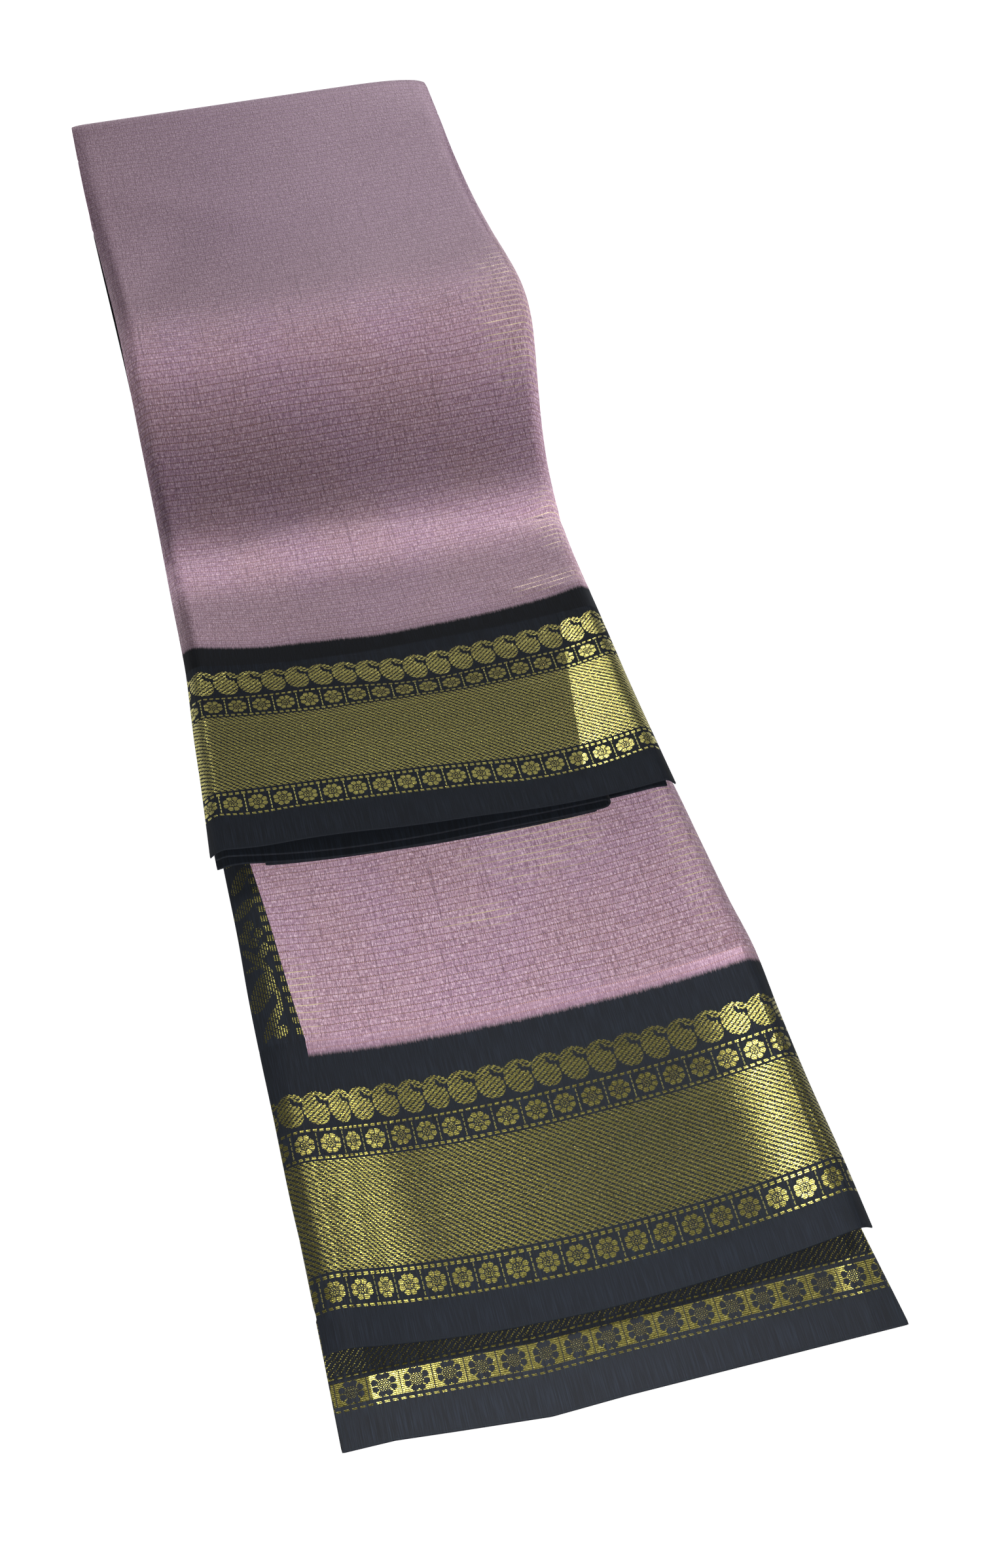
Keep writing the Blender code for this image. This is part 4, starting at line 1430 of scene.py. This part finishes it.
MIDDLE = (0.0, 0.0, 0.02)
FAR_HALF = ("upper_body", "far_fold", "underside")
NEAR_HALF = ("lowest_border", "lower_border", "lower_body", "lower_pallu")
HEMS = ("under_hem_third", "under_hem_fourth", "under_hem_loop", "lower_hem_second", "lower_hem_third")
LAMPS = (
    Lamp("far_window", (0.47, 1.66, 0.80), MIDDLE, (0.40, 0.20), 11.6, FAR_HALF + NEAR_HALF, FAR_HALF[:2]),
    Lamp("overhead", (0.05, 0.25, 1.30), MIDDLE, (0.3, 0.3), 8.4, ("upper_border", "lower_pallu")),
    Lamp("near_window", (0.25, -1.50, 0.20), MIDDLE, (0.5, 0.2), 1.5),
    # The crest of the far part and the ridge before the slope each catch a narrow line of light
    Lamp("crest_strip", (0.0, 0.117, 0.27), (0.0, 0.133, 0.045), (0.25, 0.02), 0.0098,
         FAR_HALF[:1], spread=17.0),
    Lamp("ridge_strip", (0.0, 0.055, 0.22), (0.0, 0.036, 0.0125), (0.25, 0.015), 0.0104,
         FAR_HALF[:1], spread=12.0),
    Lamp("side_card", (0.34, -0.22, 0.14), (0.05, 0.11, 0.03), (0.15, 0.15), 1.4, FAR_HALF),
    Lamp("near_card", (-0.1, -0.47, 0.33), (0.0, -0.14, 0.01), (0.2, 0.2), 2.45,
         NEAR_HALF + ("upper_border",) + HEMS),
    band_strip("left_band_strip", "lower_border", (0.57, 0.17, 0.79), (-0.075, -0.26, 0.01), 0.050),
    band_strip("right_band_strip", "lower_border", (-0.336, 0.18, 0.93), (0.084, -0.25, 0.01), 0.115),
    band_strip("upper_band_strip", "upper_border", (-0.255, 0.83, 0.744), (0.085, -0.08, 0.03), 0.028),
    band_strip("left_reverse_strip", "lowest_border", (0.536, 0.04, 0.85), (-0.065, -0.31, 0.0), 0.15),
    band_strip("right_reverse_strip", "lowest_border", (-0.30, 0.10, 0.93), (0.084, -0.31, 0.0), 0.11),
)


@dataclass
class Studio:
    """Pale floor, soft light and the camera at the angle of the picture."""

    camera_at: Point = (-0.0845, -0.5095, 0.596)
    look: Point = (0.14319, 0.57008, -0.80902)
    lens: float = 43.59
    floor_half: float = 4.0
    floor_drop: float = 0.0005
    surroundings: float = 0.145

    def floor(self) -> None:
        """Lay the pale floor: matt white card that the light turns plain white."""
        mesh = bpy.data.meshes.new("floor")
        corners = ((-1, -1), (1, -1), (1, 1), (-1, 1))
        mesh.from_pydata([(x * self.floor_half, y * self.floor_half, -self.floor_drop) for x, y in corners],
                         [], [(0, 1, 2, 3)])
        obj = bpy.data.objects.new("floor", mesh)
        bpy.context.scene.collection.objects.link(obj)
        material = bpy.data.materials.new("white_card")
        material.use_nodes = True
        shader = material.node_tree.nodes["Principled BSDF"]
        for name, value in (("Base Color", linear("#f4f4f4")), ("Roughness", 0.9),
                            ("Emission Color", linear("#ffffff")), ("Emission Strength", 1.0)):
            shader.inputs[name].default_value = value
        mesh.materials.append(material)

    def build(self) -> None:
        """Set the floor, the lights, the surroundings and the camera."""
        self.floor()
        for lamp in LAMPS:
            lamp.hang()
        world = bpy.data.worlds.new("studio")
        world.use_nodes = True
        background = world.node_tree.nodes["Background"]
        background.inputs["Color"].default_value = linear("#f2f4f8")
        background.inputs["Strength"].default_value = self.surroundings
        scene = bpy.context.scene
        scene.world = world
        scene.view_settings.view_transform = "Standard"
        data = bpy.data.cameras.new("camera")
        data.sensor_fit = "AUTO"
        data.sensor_width = 36.0
        data.lens = self.lens
        data.clip_start = 0.01
        scene.camera = bpy.data.objects.new("camera", data)
        scene.collection.objects.link(scene.camera)
        turn_to(scene.camera, self.camera_at, Vector(self.look))


# Patches of the body where its gold lines get a painted highlight, as if the light caught them
FLAP_GLINTS = (
    Glint(100.0, 330.0, 6.0, 180.0),
    Glint(92.0, 262.0, 22.0, 46.0),
    Glint(88.0, 152.0, 16.0, 24.0),
    Glint(74.0, 116.0, 22.0, 8.0),
)
LOWER_GLINTS = (
    Glint(36.0, 178.0, 30.0, 19.0),
    Glint(10.0, 152.0, 16.0, 6.0),
    Glint(88.0, 160.0, 8.0, 44.0),
    Glint(-66.0, 132.0, 9.0, 20.0),
)
# Slopes near the edges of the borders, as cloth coordinates across and the height they gain
LOWER_FOLDS = (SoftFold(-30.0, -76.0, 6.8, 1.8), SoftFold(69.0, 94.5, 4.6, 2.0))
REVERSE_FOLDS = (SoftFold(-24.0, -77.0, 7.8, 2.0), SoftFold(69.0, 84.4, 2.7, 2.0))
UPPER_FOLDS = (SoftFold(106.0, 56.0, -6.6, 2.0, 0.16),)
FINISHES = {
    # The lights for the gold also reach the lavender that this piece ends with, so it is drawn
    # darker there, to meet the panel beyond in the same tone
    "border": SariSilk(Face.BORDER, "border_silk_brocade", LOWER_GLINTS, LOWER_FOLDS, -68.6,
                       rose="#90727c", lilac="#876a85", slub="#b59eab", shade="#4f3a48"),
    # Fewer lights reach the upper border, so its gold is drawn paler to match
    "upper_border": SariSilk(Face.BORDER, "upper_border_silk_brocade", FLAP_GLINTS, UPPER_FOLDS,
                             zari="#ece485", zari_dull="#a89f58"),
    "flap_body": SariSilk(Face.BODY, "checked_silk_flap", FLAP_GLINTS),
    "lower_body": SariSilk(Face.BODY, "checked_silk_lower", LOWER_GLINTS),
    "pallu": SariSilk(Face.PALLU, "pallu_silk"),
    # Most of the gold lies on the right side, so the wrong side is duller
    "reverse": SariSilk(Face.REVERSE, "brocade_wrong_side", (), REVERSE_FOLDS,
                        zari="#777139", zari_dull="#575027", navy="#090c11"),
    "inner": SariSilk(Face.BODY, "folded_edges_silk"),
    "selvedge": SariSilk(Face.SELVEDGE, "selvedge_silk"),
}


def main() -> None:
    """Build every piece of the sari and its studio."""
    logging.basicConfig(level=logging.INFO, format="%(name)s: %(message)s")
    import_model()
    silk = {name: finish.material() for name, finish in FINISHES.items()}
    for maker in (OuterCloth(), LowerCloth(), HemLeaves(), InnerLayers()):
        for piece, node, slot, flat in maker.build(silk):
            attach(piece, "root")
            if piece.name.startswith("inner_layer"):
                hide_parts("lower_layers", "upper_layers")
            else:
                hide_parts(node)
            LOG.info("%s: %d faces, replaces %s", piece.name, len(piece.data.polygons), node)
    Studio().build()


if __name__ == "__main__":
    main()
